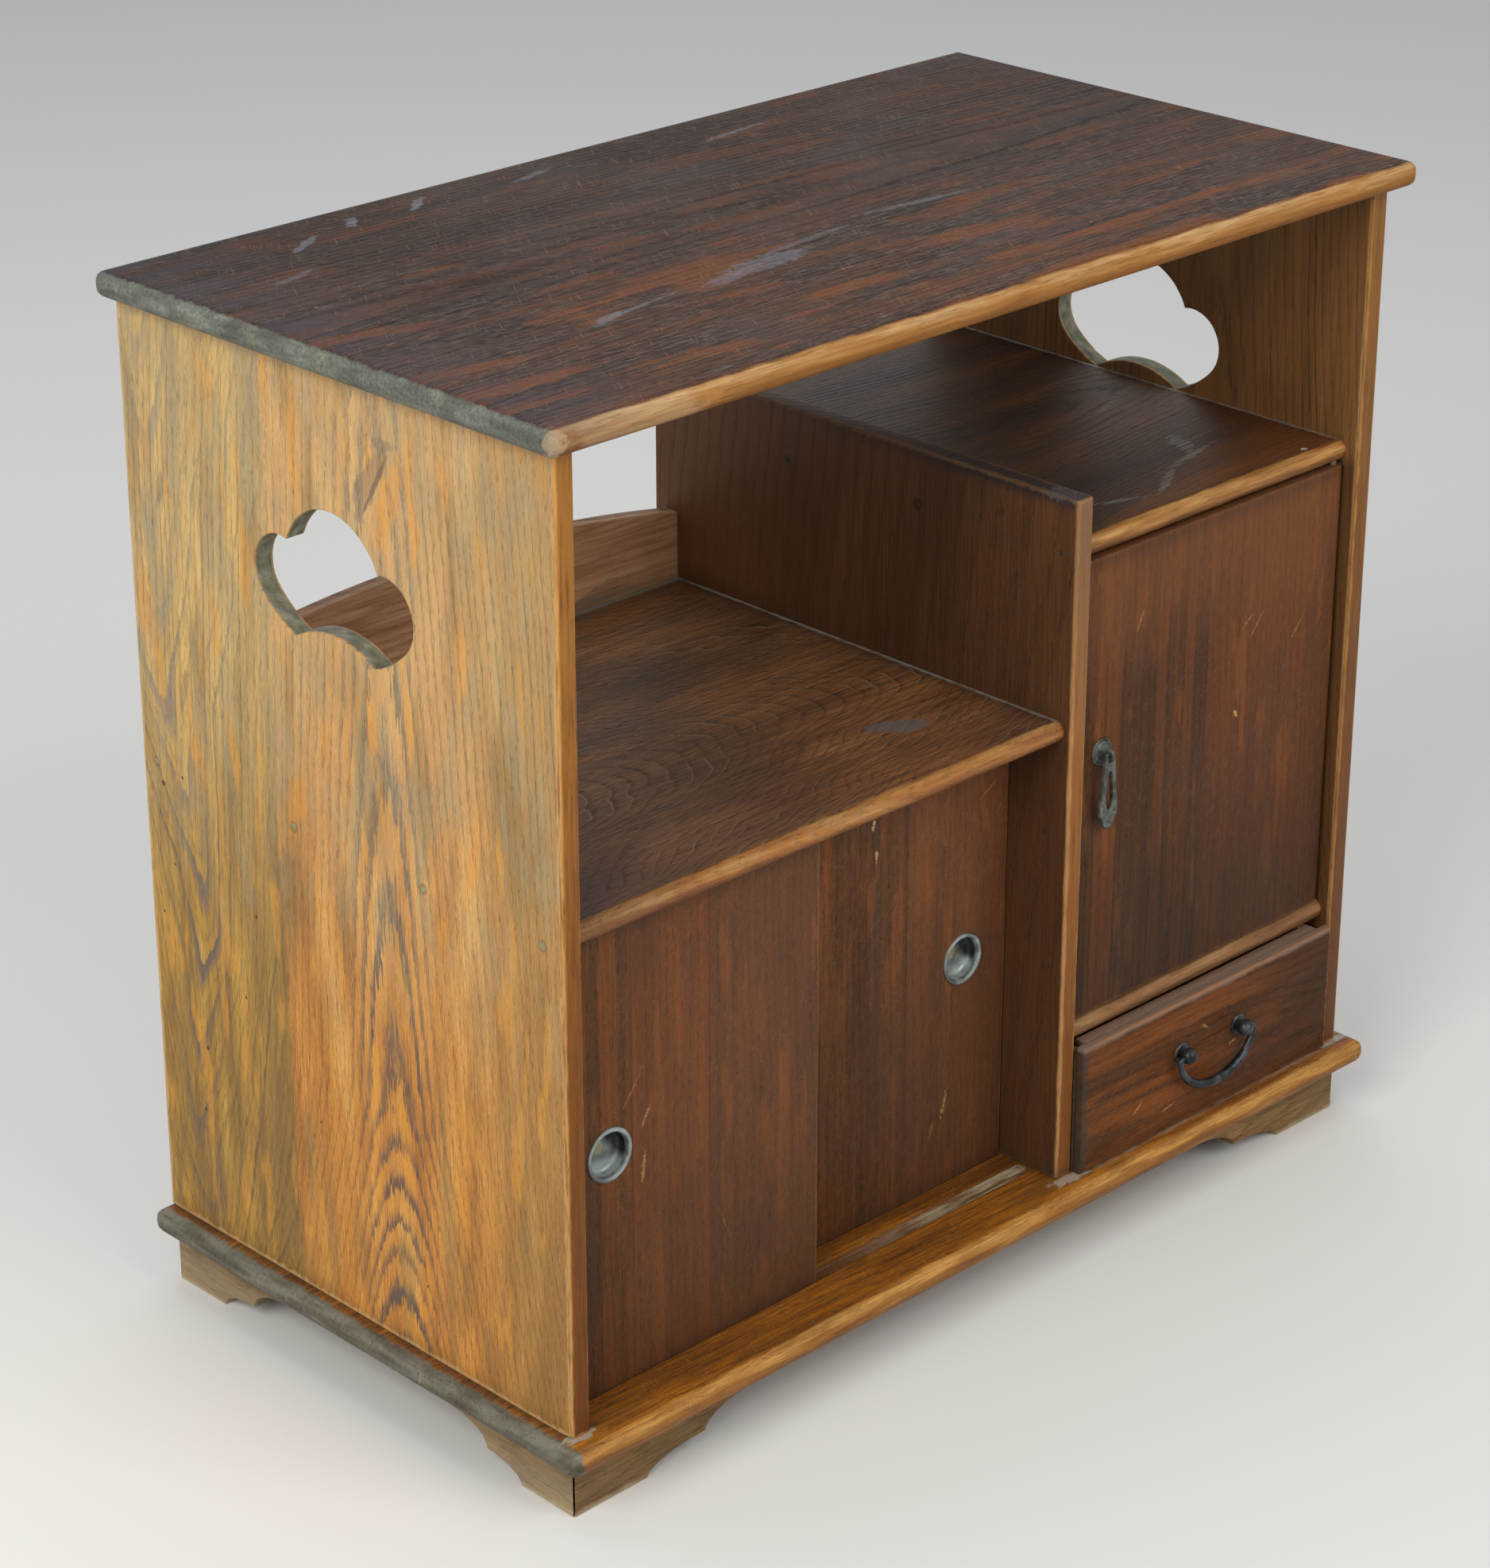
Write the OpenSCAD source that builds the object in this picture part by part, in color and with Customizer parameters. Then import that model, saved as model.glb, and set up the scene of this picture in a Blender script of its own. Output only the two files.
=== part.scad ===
// Small open tea cabinet: two display bays over a pair of sliding doors,
// a pivoting door and a drawer, on scalloped bracket feet.
// Millimetres. +X right, -Y front, +Z up. The origin is the middle of the
// overall box, on the plane of the soles.

/* [Carcass] */
// Clear height between the base board and the top board
body_h = 430; // [400:1:600]
// Width across the outer faces of the two side panels
body_w = 503; // [460:1:800]
// Depth of the side panels
body_d = 270; // [245:1:400]
// Thickness of the side panels and of the divider
panel_t = 10; // [8:0.5:14]
// Radius of the worn front arrises of the side panels and the divider
panel_round = 2; // [0.5:0.25:3]
// Thickness of the top board, whose edges are half round
top_t = 12; // [9:0.5:18]
// Overhang of the top board past each side panel
top_over_side = 10; // [6:0.5:25]
// Overhang of the top board past the front of the side panels
top_over_front = 10; // [6:0.5:25]
// Overhang of the top board past the back of the side panels
top_over_back = 3; // [0:0.5:20]
// Thickness of the base board, whose edges are half round
base_t = 12; // [9:0.5:18]
// Overhang of the base board past each side panel
base_over_side = 10; // [6:0.5:25]
// Overhang of the base board past the front of the side panels
base_over_front = 12; // [8:0.5:25]
// Overhang of the base board past the back of the side panels
base_over_back = 3; // [0:0.5:20]
// Thickness of the thin boards that close the lower back
back_t = 3; // [2:0.5:5]

/* [Divider and shelves] */
// Clear width of the left bay
left_bay_w = 291.5; // [240:0.5:330]
// Distance of the divider behind the front of the side panels
divider_set_back = 3; // [0:0.5:12]
// Rise of the divider above the right shelf
divider_rise = 21; // [0:1:50]
// Thickness of the two shelves and of the door bay floor
shelf_t = 10; // [9:0.5:14]
// Height of the left shelf's top above the base board
left_shelf_top = 227; // [190:1:260]
// Distance of the left shelf's nose behind the front of the side panels
left_shelf_set_back = 7; // [3:0.5:14]
// Height of the right shelf's top above the base board
right_shelf_top = 310; // [280:1:340]
// Distance of the right shelf's nose behind the front of the side panels
right_shelf_set_back = 7; // [3:0.5:14]
// Height of the top of the board between door and drawer
bay_floor_top = 76; // [60:1:110]
// Distance of that board's nose behind the front of the side panels
bay_floor_set_back = 5; // [3:0.5:14]
// Thickness of the arched rail at the back of the left shelf
rail_t = 9; // [6:0.5:14]
// Height of the rail at its two ends
rail_end_h = 33; // [15:1:60]
// Rise of the rail's arch above its ends
rail_rise = 14; // [2:1:30]
// Distance of the rail in front of the shelf's back edge
rail_set_in = 6; // [0:0.5:20]

/* [Side cut-outs] */
// Height of the cut-out's reference point above the base board
cutout_z = 338; // [280:1:370]
// Radius of the upper lobe
lobe_top_r = 31; // [25:0.5:36]
// Height of the upper lobe's centre above the reference point
lobe_top_rise = 1; // [-4:0.5:6]
// Radius of each side lobe
lobe_side_r = 17; // [12:0.5:22]
// Distance of a side lobe's centre from the middle of the panel
lobe_side_out = 33; // [28:0.5:40]
// Drop of a side lobe's centre below the reference point
lobe_side_drop = 3.5; // [0:0.5:8]
// Radius of the long curve that runs down to each pointed foot
lobe_tail_r = 52; // [40:1:80]
// Drop of the two pointed feet below the reference point
lobe_foot_drop = 28; // [24:0.5:32]
// Rise of the arch between the two pointed feet
lobe_arch_rise = 7; // [2:0.5:12]

/* [Feet] */
// Height of the feet
foot_h = 26; // [15:1:60]
// Thickness of the foot boards
foot_t = 9; // [6:0.5:14]
// Distance of the feet inside the faces of the side panels
foot_set_in = 0; // [0:0.5:20]
// Length of a front foot board
foot_front_len = 112; // [90:1:150]
// Length of the flat sole of a front foot board
foot_front_sole = 42; // [20:1:60]
// Length of a side foot board
foot_side_len = 78; // [64:1:110]
// Length of the flat sole of a side foot board
foot_side_sole = 33; // [15:1:45]
// Share of the foot's height that the lower scallop takes
scallop_share = 0.31; // [0.2:0.01:0.5]
// Depth of wood left over the end of the upper scallop
scallop_end_h = 7; // [4:0.5:12]
// Width of the open line in the front mitres
mitre_gap = 0.8; // [0.2:0.1:1.5]
// Width of the glue block inside each foot
block_w = 22; // [12:1:40]
// Distance of the glue blocks above the floor
block_lift = 3; // [1:0.5:8]

/* [Sliding doors] */
// Thickness of the sliding doors
slider_t = 8; // [7:0.5:12]
// Distance of the front track behind the front of the side panels
track_set_back = 17.5; // [12:0.5:30]
// Clearance between a sliding door and each wall of its track
track_gap = 0.5; // [0.3:0.1:1]
// Width of the ridge between the two tracks
track_ridge = 11; // [4:0.5:20]
// Depth of the tracks in the base board
track_depth = 3; // [2:0.5:4]
// Depth of the tracks under the left shelf
track_depth_top = 6; // [4:0.5:6.5]
// Depth by which a door stands in the upper track
slider_top_grip = 2.5; // [1.5:0.5:3.5]
// Running clearance under a sliding door
slider_lift = 0.3; // [0.1:0.1:0.6]
// Clearance at the sides of the sliding doors
slider_side_gap = 0.5; // [0.3:0.1:2]
// Overlap of the two sliding doors
slider_overlap = 10; // [4:1:30]
// Diameter over the rim of the round finger pulls
cup_d = 25; // [18:0.5:32]
// Width of the rim of a finger pull
cup_rim_w = 1.8; // [1:0.1:3]
// Height of the rim proud of the door
cup_rim_h = 0.8; // [0.4:0.1:1.2]
// Depth of a finger pull behind the door's face
cup_depth = 6; // [5:0.25:6.5]
// Thickness of the sheet metal of a finger pull
cup_wall = 0.7; // [0.4:0.1:1]
// Radius at the bottom of a finger pull
cup_corner = 2.2; // [1:0.1:3]
// Distance of a finger pull's centre from the door's outer edge
cup_in = 28.5; // [20:0.5:60]
// Height of the finger pulls' centres above the base board
cup_z = 111; // [60:1:160]

/* [Pivoting door] */
// Thickness of the pivoting door
door_t = 9; // [7:0.5:12]
// Distance of the door's face behind the front of the side panels
door_set_back = 6.5; // [5:0.5:14]
// Gap round the door
door_gap = 0.8; // [0.5:0.1:1.5]
// Radius of the pivot pins
pivot_r = 2; // [1.5:0.1:2.5]
// Radial clearance of the pivot pins in their sockets
pivot_fit = 0.06; // [0.03:0.01:0.1]
// Depth by which a pivot pin stands in its socket
pivot_reach = 5; // [3:0.5:7]
// Depth by which a pivot pin is set in the door
pivot_set = 12; // [8:1:25]
// Side of the strip on the divider that stops the closed door
stop_w = 4; // [3:0.5:8]
// Clearance of the closed door at that strip
stop_gap = 0.3; // [0.1:0.1:1]

/* [Door pull] */
// Distance of the pull from the door's free edge
pull_in = 14; // [12:0.5:30]
// Height of the pull's hinge above the base board
pull_z = 206; // [170:1:240]
// Diameter of the domed rosette behind the pull
rosette_d = 13; // [10:0.5:18]
// Height of the rosette's dome
rosette_h = 2; // [1.2:0.1:3]
// Radius of the wire of the split pin
pin_wire_r = 0.8; // [0.6:0.05:1]
// Radius of the drop's hinge bar
drop_bar_r = 0.9; // [0.7:0.05:1.1]
// Radius of the pin's shank through the door
shank_r = 1.2; // [0.9:0.05:1.4]
// Length of each bent end of the pin behind the door
pin_tail = 6; // [3:0.5:8]
// Clearance of the hinge bar in the split pin's eye
drop_fit = 0.3; // [0.2:0.05:0.5]
// Length of the drop below its hinge
drop_len = 36; // [33:1:46]
// Greatest width of the drop
drop_w = 11.2; // [9:0.2:14]
// Distance of the drop's widest place below its hinge
drop_wide_down = 25; // [21:0.5:26]
// Length of the drop's straight sides at its widest place
drop_wide_len = 4; // [2:0.5:6]
// Width of the drop at its hinge
drop_top_w = 6; // [5.6:0.2:7]
// Width of the drop's blunt point
drop_tip_w = 2.8; // [1.6:0.2:4]
// Thickness of the drop
drop_t = 2.2; // [1.9:0.1:3]
// Distance of the slot's upper end below the hinge
slot_down = 8; // [6:0.5:12]
// Width of the slot's upper end
slot_top_w = 3; // [2:0.2:4]
// Greatest width of the slot
slot_w = 4.8; // [3.2:0.2:6]
// Length of the slot
slot_len = 19; // [14:0.5:20]

/* [Drawer] */
// Thickness of the drawer front
drawer_front_t = 11; // [9:0.5:16]
// Distance by which the drawer front stands proud of the side panels
drawer_proud = 2; // [-4:0.5:4]
// Gap at each side of the drawer
drawer_side_gap = 0.9; // [0.4:0.1:2]
// Gap above the drawer front
drawer_top_gap = 1.2; // [0.6:0.1:3]
// Running clearance under the drawer
drawer_lift = 0.3; // [0.1:0.1:0.6]
// Thickness of the drawer's sides
drawer_side_t = 6; // [5:0.5:9]
// Thickness of the drawer's back
drawer_back_t = 6; // [4:0.5:9]
// Thickness of the drawer's bottom
drawer_bottom_t = 4; // [3:0.5:6]
// Depth by which the sides and the bottom are let into the front
drawer_lap = 6; // [3:0.5:8]
// Drop of the drawer's sides below its front's top
drawer_side_drop = 4; // [1:0.5:12]
// Gap between the closed drawer and the back board
drawer_back_gap = 1; // [0.5:0.5:6]

/* [Drawer handle] */
// Distance between the two posts
post_span = 41; // [32:1:60]
// Height of the posts above the base board
post_z = 38; // [32:0.5:50]
// Diameter of the collar at the foot of a post
post_collar_d = 10; // [8:0.5:14]
// Thickness of the collar
post_collar_h = 1.2; // [0.6:0.1:2]
// Radius of a post's neck
post_neck_r = 2.5; // [2:0.1:3]
// Radius of a post's round head
post_head_r = 4; // [3.4:0.1:5]
// Distance of the head's centre in front of the drawer
post_out = 5; // [4:0.25:6]
// Radius of the post's shank in the drawer front
post_shank_r = 1.6; // [1.2:0.1:1.9]
// Radius of the washer behind the drawer front
post_washer_r = 4; // [3:0.5:6]
// Radius of the bail's hinge ends
bail_pin_r = 1.2; // [1:0.05:1.4]
// Radial clearance of the bail's ends in the posts
bail_fit = 0.08; // [0.04:0.01:0.1]
// Gap between the bail's arms and the posts' heads
bail_side_gap = 0.5; // [0.3:0.1:3]
// Radius of the knuckles where the bail bends into the posts
bail_knuckle_r = 1.6; // [1.5:0.1:2]
// Drop of the bail's middle line below its hinge
bail_drop = 20; // [15:0.5:24]
// Radius of the bail at its middle
bail_mid_r = 2.4; // [1.8:0.1:3]

/* [Pegs and nails] */
// Radius of the wooden pegs of the carcass
peg_r = 1.6; // [1.2:0.1:2]
// Depth of a peg in the second board
peg_reach = 14; // [8:1:24]
// Clearance of pegs and nails in their holes
peg_fit = 0.02; // [0.01:0.01:0.05]
// Distance of the first and last pegs from a board's ends
peg_end = 12; // [8:1:20]
// Distance of the side panels' second pegs behind the front
side_peg_2 = 84; // [60:1:110]
// Distance of the side panels' third pegs behind the front
side_peg_3 = 167; // [140:1:190]
// Distance of the divider's second pegs behind the front
divider_peg_2 = 97; // [60:1:120]
// Distance of the divider's third pegs behind the front
divider_peg_3 = 179; // [140:1:200]
// Radius of the nails in the back boards
nail_r = 0.8; // [0.6:0.1:1]
// Radius of the nail heads
nail_head_r = 1.7; // [1.2:0.1:2.4]
// Height of the nail heads
nail_head_h = 0.5; // [0.3:0.1:0.8]
// Depth of a nail in the second board
nail_reach = 9; // [5:1:14]
// Radius of the pegs of the drawer
drawer_peg_r = 1; // [0.8:0.1:1.4]
// Depth of a drawer peg in the second board
drawer_peg_reach = 8; // [5:1:12]

/* [Hidden] */
$fn = 64;

// Finishes
side_wood = [0.78, 0.62, 0.36];
top_wood = [0.33, 0.20, 0.16];
shelf_wood = [0.42, 0.27, 0.17];
base_wood = [0.66, 0.42, 0.18];
door_wood = [0.40, 0.22, 0.15];
foot_wood = [0.60, 0.48, 0.36];
back_wood = [0.55, 0.42, 0.28];
peg_wood = [0.74, 0.66, 0.50];
patina = [0.55, 0.60, 0.57];
iron = [0.20, 0.22, 0.22];

// A little more than nothing, to cut clean through a face
over = 1;

// Vertical build-up, from the soles
floor_z = foot_h + base_t;
// Front plane of the side panels, so that the overall box is centred
front_over = max(top_over_front, base_over_front);
back_over = max(top_over_back, base_over_back);
front_y = (front_over - back_over - body_d) / 2;

// Places in the carcass's own corner: x from the left panel's outer face,
// y from the front of the side panels, z from the base board's top
bay_l = panel_t;
divider_x = bay_l + left_bay_w;
bay_r = divider_x + panel_t;
inner_r = body_w - panel_t;
right_bay_w = inner_r - bay_r;
shelf_back = body_d - back_t;
divider_h = right_shelf_top + divider_rise;

// Sliding doors
track_w = slider_t + 2 * track_gap;
front_track_y = track_set_back;
rear_track_y = track_set_back + track_w + track_ridge;
left_shelf_low = left_shelf_top - shelf_t;
slider_w = (left_bay_w + slider_overlap) / 2 - slider_side_gap;
slider_z = slider_lift - track_depth;
slider_h = left_shelf_low + slider_top_grip - slider_z;

// Pivoting door
door_low = bay_floor_top + door_gap;
door_high = right_shelf_top - shelf_t - door_gap;
door_left = bay_r + door_gap;
pivot_x = inner_r - door_gap - door_t / 2;
pivot_y = door_set_back + door_t / 2;
pull_x = door_left + pull_in;
eye_in_r = drop_bar_r + drop_fit;
eye_mid_r = eye_in_r + pin_wire_r;
eye_out_r = eye_mid_r + pin_wire_r;
eye_out = rosette_h + eye_out_r;

// Drawer
drawer_left = bay_r + drawer_side_gap;
drawer_w = right_bay_w - 2 * drawer_side_gap;
drawer_high = bay_floor_top - shelf_t - drawer_top_gap;
drawer_inner_y = drawer_front_t - drawer_proud;
drawer_end_y = shelf_back - drawer_back_gap;
drawer_side_z = drawer_lift + drawer_bottom_t;
drawer_side_h = drawer_high - drawer_side_drop - drawer_side_z;
post_mid_x = drawer_left + drawer_w / 2;
handle_y = -drawer_proud - post_out;

// Moves a piece from the carcass's corner to the shared frame
module in_place() {
    translate([-body_w / 2, front_y, floor_z]) children();
}

// Extrudes an outline drawn in Y and Z along +X
module along_x(len) {
    rotate([90, 0, 90]) linear_extrude(len) children();
}

// Extrudes an outline drawn in X and Z along +Y
module along_y(len) {
    translate([0, len, 0]) rotate([90, 0, 0]) linear_extrude(len) children();
}

// A board's section with a half-round front edge
module nosed(d, t) {
    translate([t / 2, 0]) square([d - t / 2, t]);
    translate([t / 2, t / 2]) circle(d = t);
}

// A board's section with two half-round edges
module stadium(d, t) {
    translate([t / 2, 0]) square([d - t, t]);
    for (s = [t / 2, d - t / 2])
        translate([s, t / 2]) circle(d = t);
}

// A flat board whose four edges are half round and meet in mitres
module round_edged_board(w, d, t) {
    intersection() {
        along_x(w) stadium(d, t);
        along_y(d) stadium(w, t);
    }
}

// Section of an upright with rounded front arrises, drawn in X and Y
module upright_section(t, d, r) {
    translate([0, r]) square([t, d - r]);
    translate([r, 0]) square([t - 2 * r, r]);
    for (x = [r, t - r])
        translate([x, r]) circle(r = r);
}

// Points along an arc
function arc(c, r, from, to, n = 14) =
    [for (i = [0:n]) let (a = from + (to - from) * i / n) c + r * [cos(a), sin(a)]];

// The two circles of the cut-out meet in a notch, seen from each centre
lobe_top_c = [0, lobe_top_rise];
lobe_side_c = [lobe_side_out, -lobe_side_drop];
lobe_between = norm(lobe_side_c - lobe_top_c);
lobe_lean = atan2(lobe_side_c.y - lobe_top_c.y, lobe_side_c.x);

// Angle at the first circle's centre between the other centre and a crossing point
function crossing(r, other, between) =
    acos((r ^ 2 + between ^ 2 - other ^ 2) / (2 * r * between));

notch_from_top = lobe_lean + crossing(lobe_top_r, lobe_side_r, lobe_between);
notch_from_side = 180 + lobe_lean - crossing(lobe_side_r, lobe_top_r, lobe_between);
// The tail leaves the side lobe here
tail_from = -45;
tail_c = lobe_side_c + (lobe_side_r - lobe_tail_r) * [cos(tail_from), sin(tail_from)];
tail_to = asin((-lobe_foot_drop - tail_c.y) / lobe_tail_r);
lobe_foot_x = tail_c.x + lobe_tail_r * cos(tail_to);
lobe_arch_r = (lobe_foot_x ^ 2 + lobe_arch_rise ^ 2) / (2 * lobe_arch_rise);
lobe_arch_c = [0, lobe_arch_rise - lobe_foot_drop - lobe_arch_r];
arch_from = atan2(-lobe_foot_drop - lobe_arch_c.y, lobe_foot_x);

cutout_half = concat(
    arc(lobe_top_c, lobe_top_r, 90, notch_from_top),
    arc(lobe_side_c, lobe_side_r, notch_from_side, tail_from),
    arc(tail_c, lobe_tail_r, tail_from, tail_to, 8),
    arc(lobe_arch_c, lobe_arch_r, arch_from, 90, 8)
);

// Three-lobed cut-out with two pointed feet, right through a side panel
module cutout_through() {
    translate([-over, body_d / 2, cutout_z])
        rotate([90, 0, 90])
            linear_extrude(panel_t + 2 * over) {
                polygon(cutout_half);
                mirror([1, 0]) polygon(cutout_half);
            }
}

// Places of the pegs behind the front; the right panel's first ones clear the door's pivots
last_peg = shelf_back - peg_end / 2;
panel_peg_y = [peg_end, side_peg_2, side_peg_3, last_peg];
right_peg_y = [pivot_y + pivot_r + peg_end, side_peg_2, side_peg_3, last_peg];
middle_peg_y = [peg_end, divider_peg_2, divider_peg_3, last_peg];

module top_peg_set(r) {
    for (x = [panel_t / 2, body_w - panel_t / 2], y = panel_peg_y)
        translate([x, y, body_h - peg_reach]) cylinder(r = r, h = peg_reach + top_t);
}

module base_peg_set(r) {
    for (x = [panel_t / 2, divider_x + panel_t / 2, body_w - panel_t / 2], y = panel_peg_y)
        translate([x, y, -base_t]) cylinder(r = r, h = peg_reach + base_t);
}

module left_panel_peg_set(r) {
    for (y = panel_peg_y)
        translate([0, y, left_shelf_top - shelf_t / 2])
            rotate([0, 90, 0]) cylinder(r = r, h = panel_t + peg_reach);
}

module right_panel_peg_set(r) {
    for (z = [right_shelf_top, bay_floor_top], y = right_peg_y)
        translate([body_w, y, z - shelf_t / 2])
            rotate([0, -90, 0]) cylinder(r = r, h = panel_t + peg_reach);
}

// The divider is pegged to the right boards from its left face
// and to the left shelf from its right face
module divider_peg_set(r) {
    for (z = [right_shelf_top, bay_floor_top], y = middle_peg_y)
        translate([divider_x, y, z - shelf_t / 2])
            rotate([0, 90, 0]) cylinder(r = r, h = panel_t + peg_reach);
    for (y = middle_peg_y)
        translate([bay_r, y, left_shelf_top - shelf_t / 2])
            rotate([0, -90, 0]) cylinder(r = r, h = panel_t + peg_reach);
}

// Nails through the back boards into the divider and the boards' back edges
left_back_high = left_shelf_top - shelf_t / 2;
right_back_high = right_shelf_top - shelf_t / 2;
back_joint_x = divider_x + panel_t / 2;
nail_spots = concat(
    [for (i = [0:3]) [back_joint_x - panel_t / 4, left_shelf_low * (i + 0.5) / 4]],
    [for (i = [0:4]) [back_joint_x + panel_t / 4, (right_shelf_top - shelf_t) * (i + 0.5) / 5]],
    [for (i = [0:4]) [bay_l + left_bay_w * (i + 0.5) / 5, left_back_high - shelf_t / 4]],
    [for (i = [0:2]) [bay_r + right_bay_w * (i + 0.5) / 3, right_back_high - shelf_t / 4]],
    [for (i = [0:2]) [bay_r + right_bay_w * (i + 0.5) / 3, bay_floor_top - shelf_t / 2]]
);

module nail_set(r) {
    for (p = nail_spots)
        translate([p.x, body_d, p.y])
            rotate([90, 0, 0]) cylinder(r = r, h = back_t + nail_reach);
}

// A track as wide as the left bay
module track(y, z, depth) {
    translate([bay_l, y, z]) cube([left_bay_w, track_w, depth]);
}

module base_board() {
    color(base_wood) in_place() difference() {
        translate([-base_over_side, -base_over_front, -base_t])
            round_edged_board(body_w + 2 * base_over_side,
                              body_d + base_over_front + base_over_back, base_t);
        track(front_track_y, -track_depth, track_depth + over);
        track(rear_track_y, -track_depth, track_depth + over);
        base_peg_set(peg_r + peg_fit);
    }
}

module top_board() {
    color(top_wood) in_place() difference() {
        translate([-top_over_side, -top_over_front, body_h])
            round_edged_board(body_w + 2 * top_over_side,
                              body_d + top_over_front + top_over_back, top_t);
        top_peg_set(peg_r + peg_fit);
    }
}

module side_panel(x) {
    translate([x, 0, 0]) difference() {
        linear_extrude(body_h) upright_section(panel_t, body_d, panel_round);
        cutout_through();
    }
}

module left_side_panel() {
    color(side_wood) in_place() difference() {
        side_panel(0);
        top_peg_set(peg_r + peg_fit);
        base_peg_set(peg_r + peg_fit);
        left_panel_peg_set(peg_r + peg_fit);
    }
}

module right_side_panel() {
    color(side_wood) in_place() difference() {
        side_panel(inner_r);
        top_peg_set(peg_r + peg_fit);
        base_peg_set(peg_r + peg_fit);
        right_panel_peg_set(peg_r + peg_fit);
    }
}

module divider() {
    color(shelf_wood) in_place() difference() {
        translate([divider_x, divider_set_back, 0])
            linear_extrude(divider_h)
                upright_section(panel_t, shelf_back - divider_set_back, panel_round);
        base_peg_set(peg_r + peg_fit);
        divider_peg_set(peg_r + peg_fit);
        nail_set(nail_r + peg_fit);
    }
}

// A shelf board with a half-round nose
module shelf(x, w, top, set_back) {
    translate([x, set_back, top - shelf_t])
        along_x(w) nosed(shelf_back - set_back, shelf_t);
}

module left_shelf() {
    color(shelf_wood) in_place() difference() {
        shelf(bay_l, left_bay_w, left_shelf_top, left_shelf_set_back);
        track(front_track_y, left_shelf_low - over, track_depth_top + over);
        track(rear_track_y, left_shelf_low - over, track_depth_top + over);
        left_panel_peg_set(peg_r + peg_fit);
        divider_peg_set(peg_r + peg_fit);
        nail_set(nail_r + peg_fit);
    }
}

// The rail's top edge is one shallow arc
rail_r = ((left_bay_w / 2) ^ 2 + rail_rise ^ 2) / (2 * rail_rise);
rail_c = [left_bay_w / 2, rail_end_h + rail_rise - rail_r];
rail_half_angle = asin(left_bay_w / 2 / rail_r);

module left_shelf_rail() {
    color(shelf_wood) in_place()
        translate([bay_l, shelf_back - rail_set_in - rail_t, left_shelf_top])
            along_y(rail_t)
                polygon(concat([[left_bay_w, 0], [0, 0]],
                    arc(rail_c, rail_r, 90 + rail_half_angle, 90 - rail_half_angle, 24)));
}

module right_shelf() {
    color(shelf_wood) in_place() difference() {
        shelf(bay_r, right_bay_w, right_shelf_top, right_shelf_set_back);
        right_panel_peg_set(peg_r + peg_fit);
        divider_peg_set(peg_r + peg_fit);
        nail_set(nail_r + peg_fit);
        pivot_pins(pivot_r + pivot_fit);
    }
}

module door_bay_floor() {
    color(shelf_wood) in_place() difference() {
        shelf(bay_r, right_bay_w, bay_floor_top, bay_floor_set_back);
        right_panel_peg_set(peg_r + peg_fit);
        divider_peg_set(peg_r + peg_fit);
        nail_set(nail_r + peg_fit);
        pivot_pins(pivot_r + pivot_fit);
    }
}

module left_back_board() {
    color(back_wood) in_place() difference() {
        translate([bay_l, shelf_back, 0]) cube([back_joint_x - bay_l, back_t, left_back_high]);
        nail_set(nail_r + peg_fit);
    }
}

module right_back_board() {
    color(back_wood) in_place() difference() {
        translate([back_joint_x, shelf_back, 0]) cube([inner_r - back_joint_x, back_t, right_back_high]);
        nail_set(nail_r + peg_fit);
    }
}

module door_stop() {
    color(shelf_wood) in_place()
        translate([bay_r, door_set_back + door_t + stop_gap, bay_floor_top])
            cube([stop_w, stop_w, right_shelf_top - shelf_t - bay_floor_top]);
}

// Outline of a foot board from its outer corner inwards, with two scallops
function scallop(from, to, n = 10) =
    [for (i = [0:n]) let (a = 90 * i / n)
        [to.x + (from.x - to.x) * cos(a), from.y + (to.y - from.y) * sin(a)]];

function foot_outline(len, sole) =
    let (cusp = [sole + (len - sole) * 0.48, -foot_h * (1 - scallop_share)])
    concat([[0, 0], [0, -foot_h]],
        scallop([sole, -foot_h], cusp),
        scallop(cusp, [len, -scallop_end_h]),
        [[len, 0]]);

// Corner of the feet, under the base board
module at_feet() {
    in_place() translate([0, 0, -base_t]) children();
}

// Prism that cuts a mitre from the outer corner, with its open line
module mitre_cut() {
    g = mitre_gap / 2 * sqrt(2);
    translate([0, 0, -foot_h - over])
        linear_extrude(foot_h + 2 * over)
            polygon([[g - over, -over], [foot_t + g + over, foot_t + over],
                     [-over, foot_t + over], [-over, -over]]);
}

// Front board of the front left foot, in its own corner
module front_board() {
    difference() {
        along_y(foot_t) polygon(foot_outline(foot_front_len, foot_front_sole));
        mitre_cut();
    }
}

// Side board of the front left foot, in its own corner
module side_board(mitred) {
    difference() {
        along_x(foot_t) polygon(foot_outline(foot_side_len, foot_side_sole));
        if (mitred)
            mirror([1, -1, 0]) mitre_cut();
    }
}

// Puts a left foot in its corner, or its mirror image in the right one
module foot_corner(right) {
    at_feet()
        translate([right ? body_w - foot_set_in : foot_set_in, foot_set_in, 0])
            mirror([right ? 1 : 0, 0, 0]) children();
}

// Turns a side board end for end, for the back of the cabinet
module at_rear() {
    translate([0, body_d - back_t - 2 * foot_set_in, 0]) mirror([0, 1, 0]) children();
}

module front_left_foot_front() {
    color(foot_wood) foot_corner(false) front_board();
}

module front_left_foot_side() {
    color(foot_wood) foot_corner(false) side_board(true);
}

module front_right_foot_front() {
    color(foot_wood) foot_corner(true) front_board();
}

module front_right_foot_side() {
    color(foot_wood) foot_corner(true) side_board(true);
}

module rear_left_foot() {
    color(foot_wood) foot_corner(false) at_rear() side_board(false);
}

module rear_right_foot() {
    color(foot_wood) foot_corner(true) at_rear() side_board(false);
}

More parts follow.
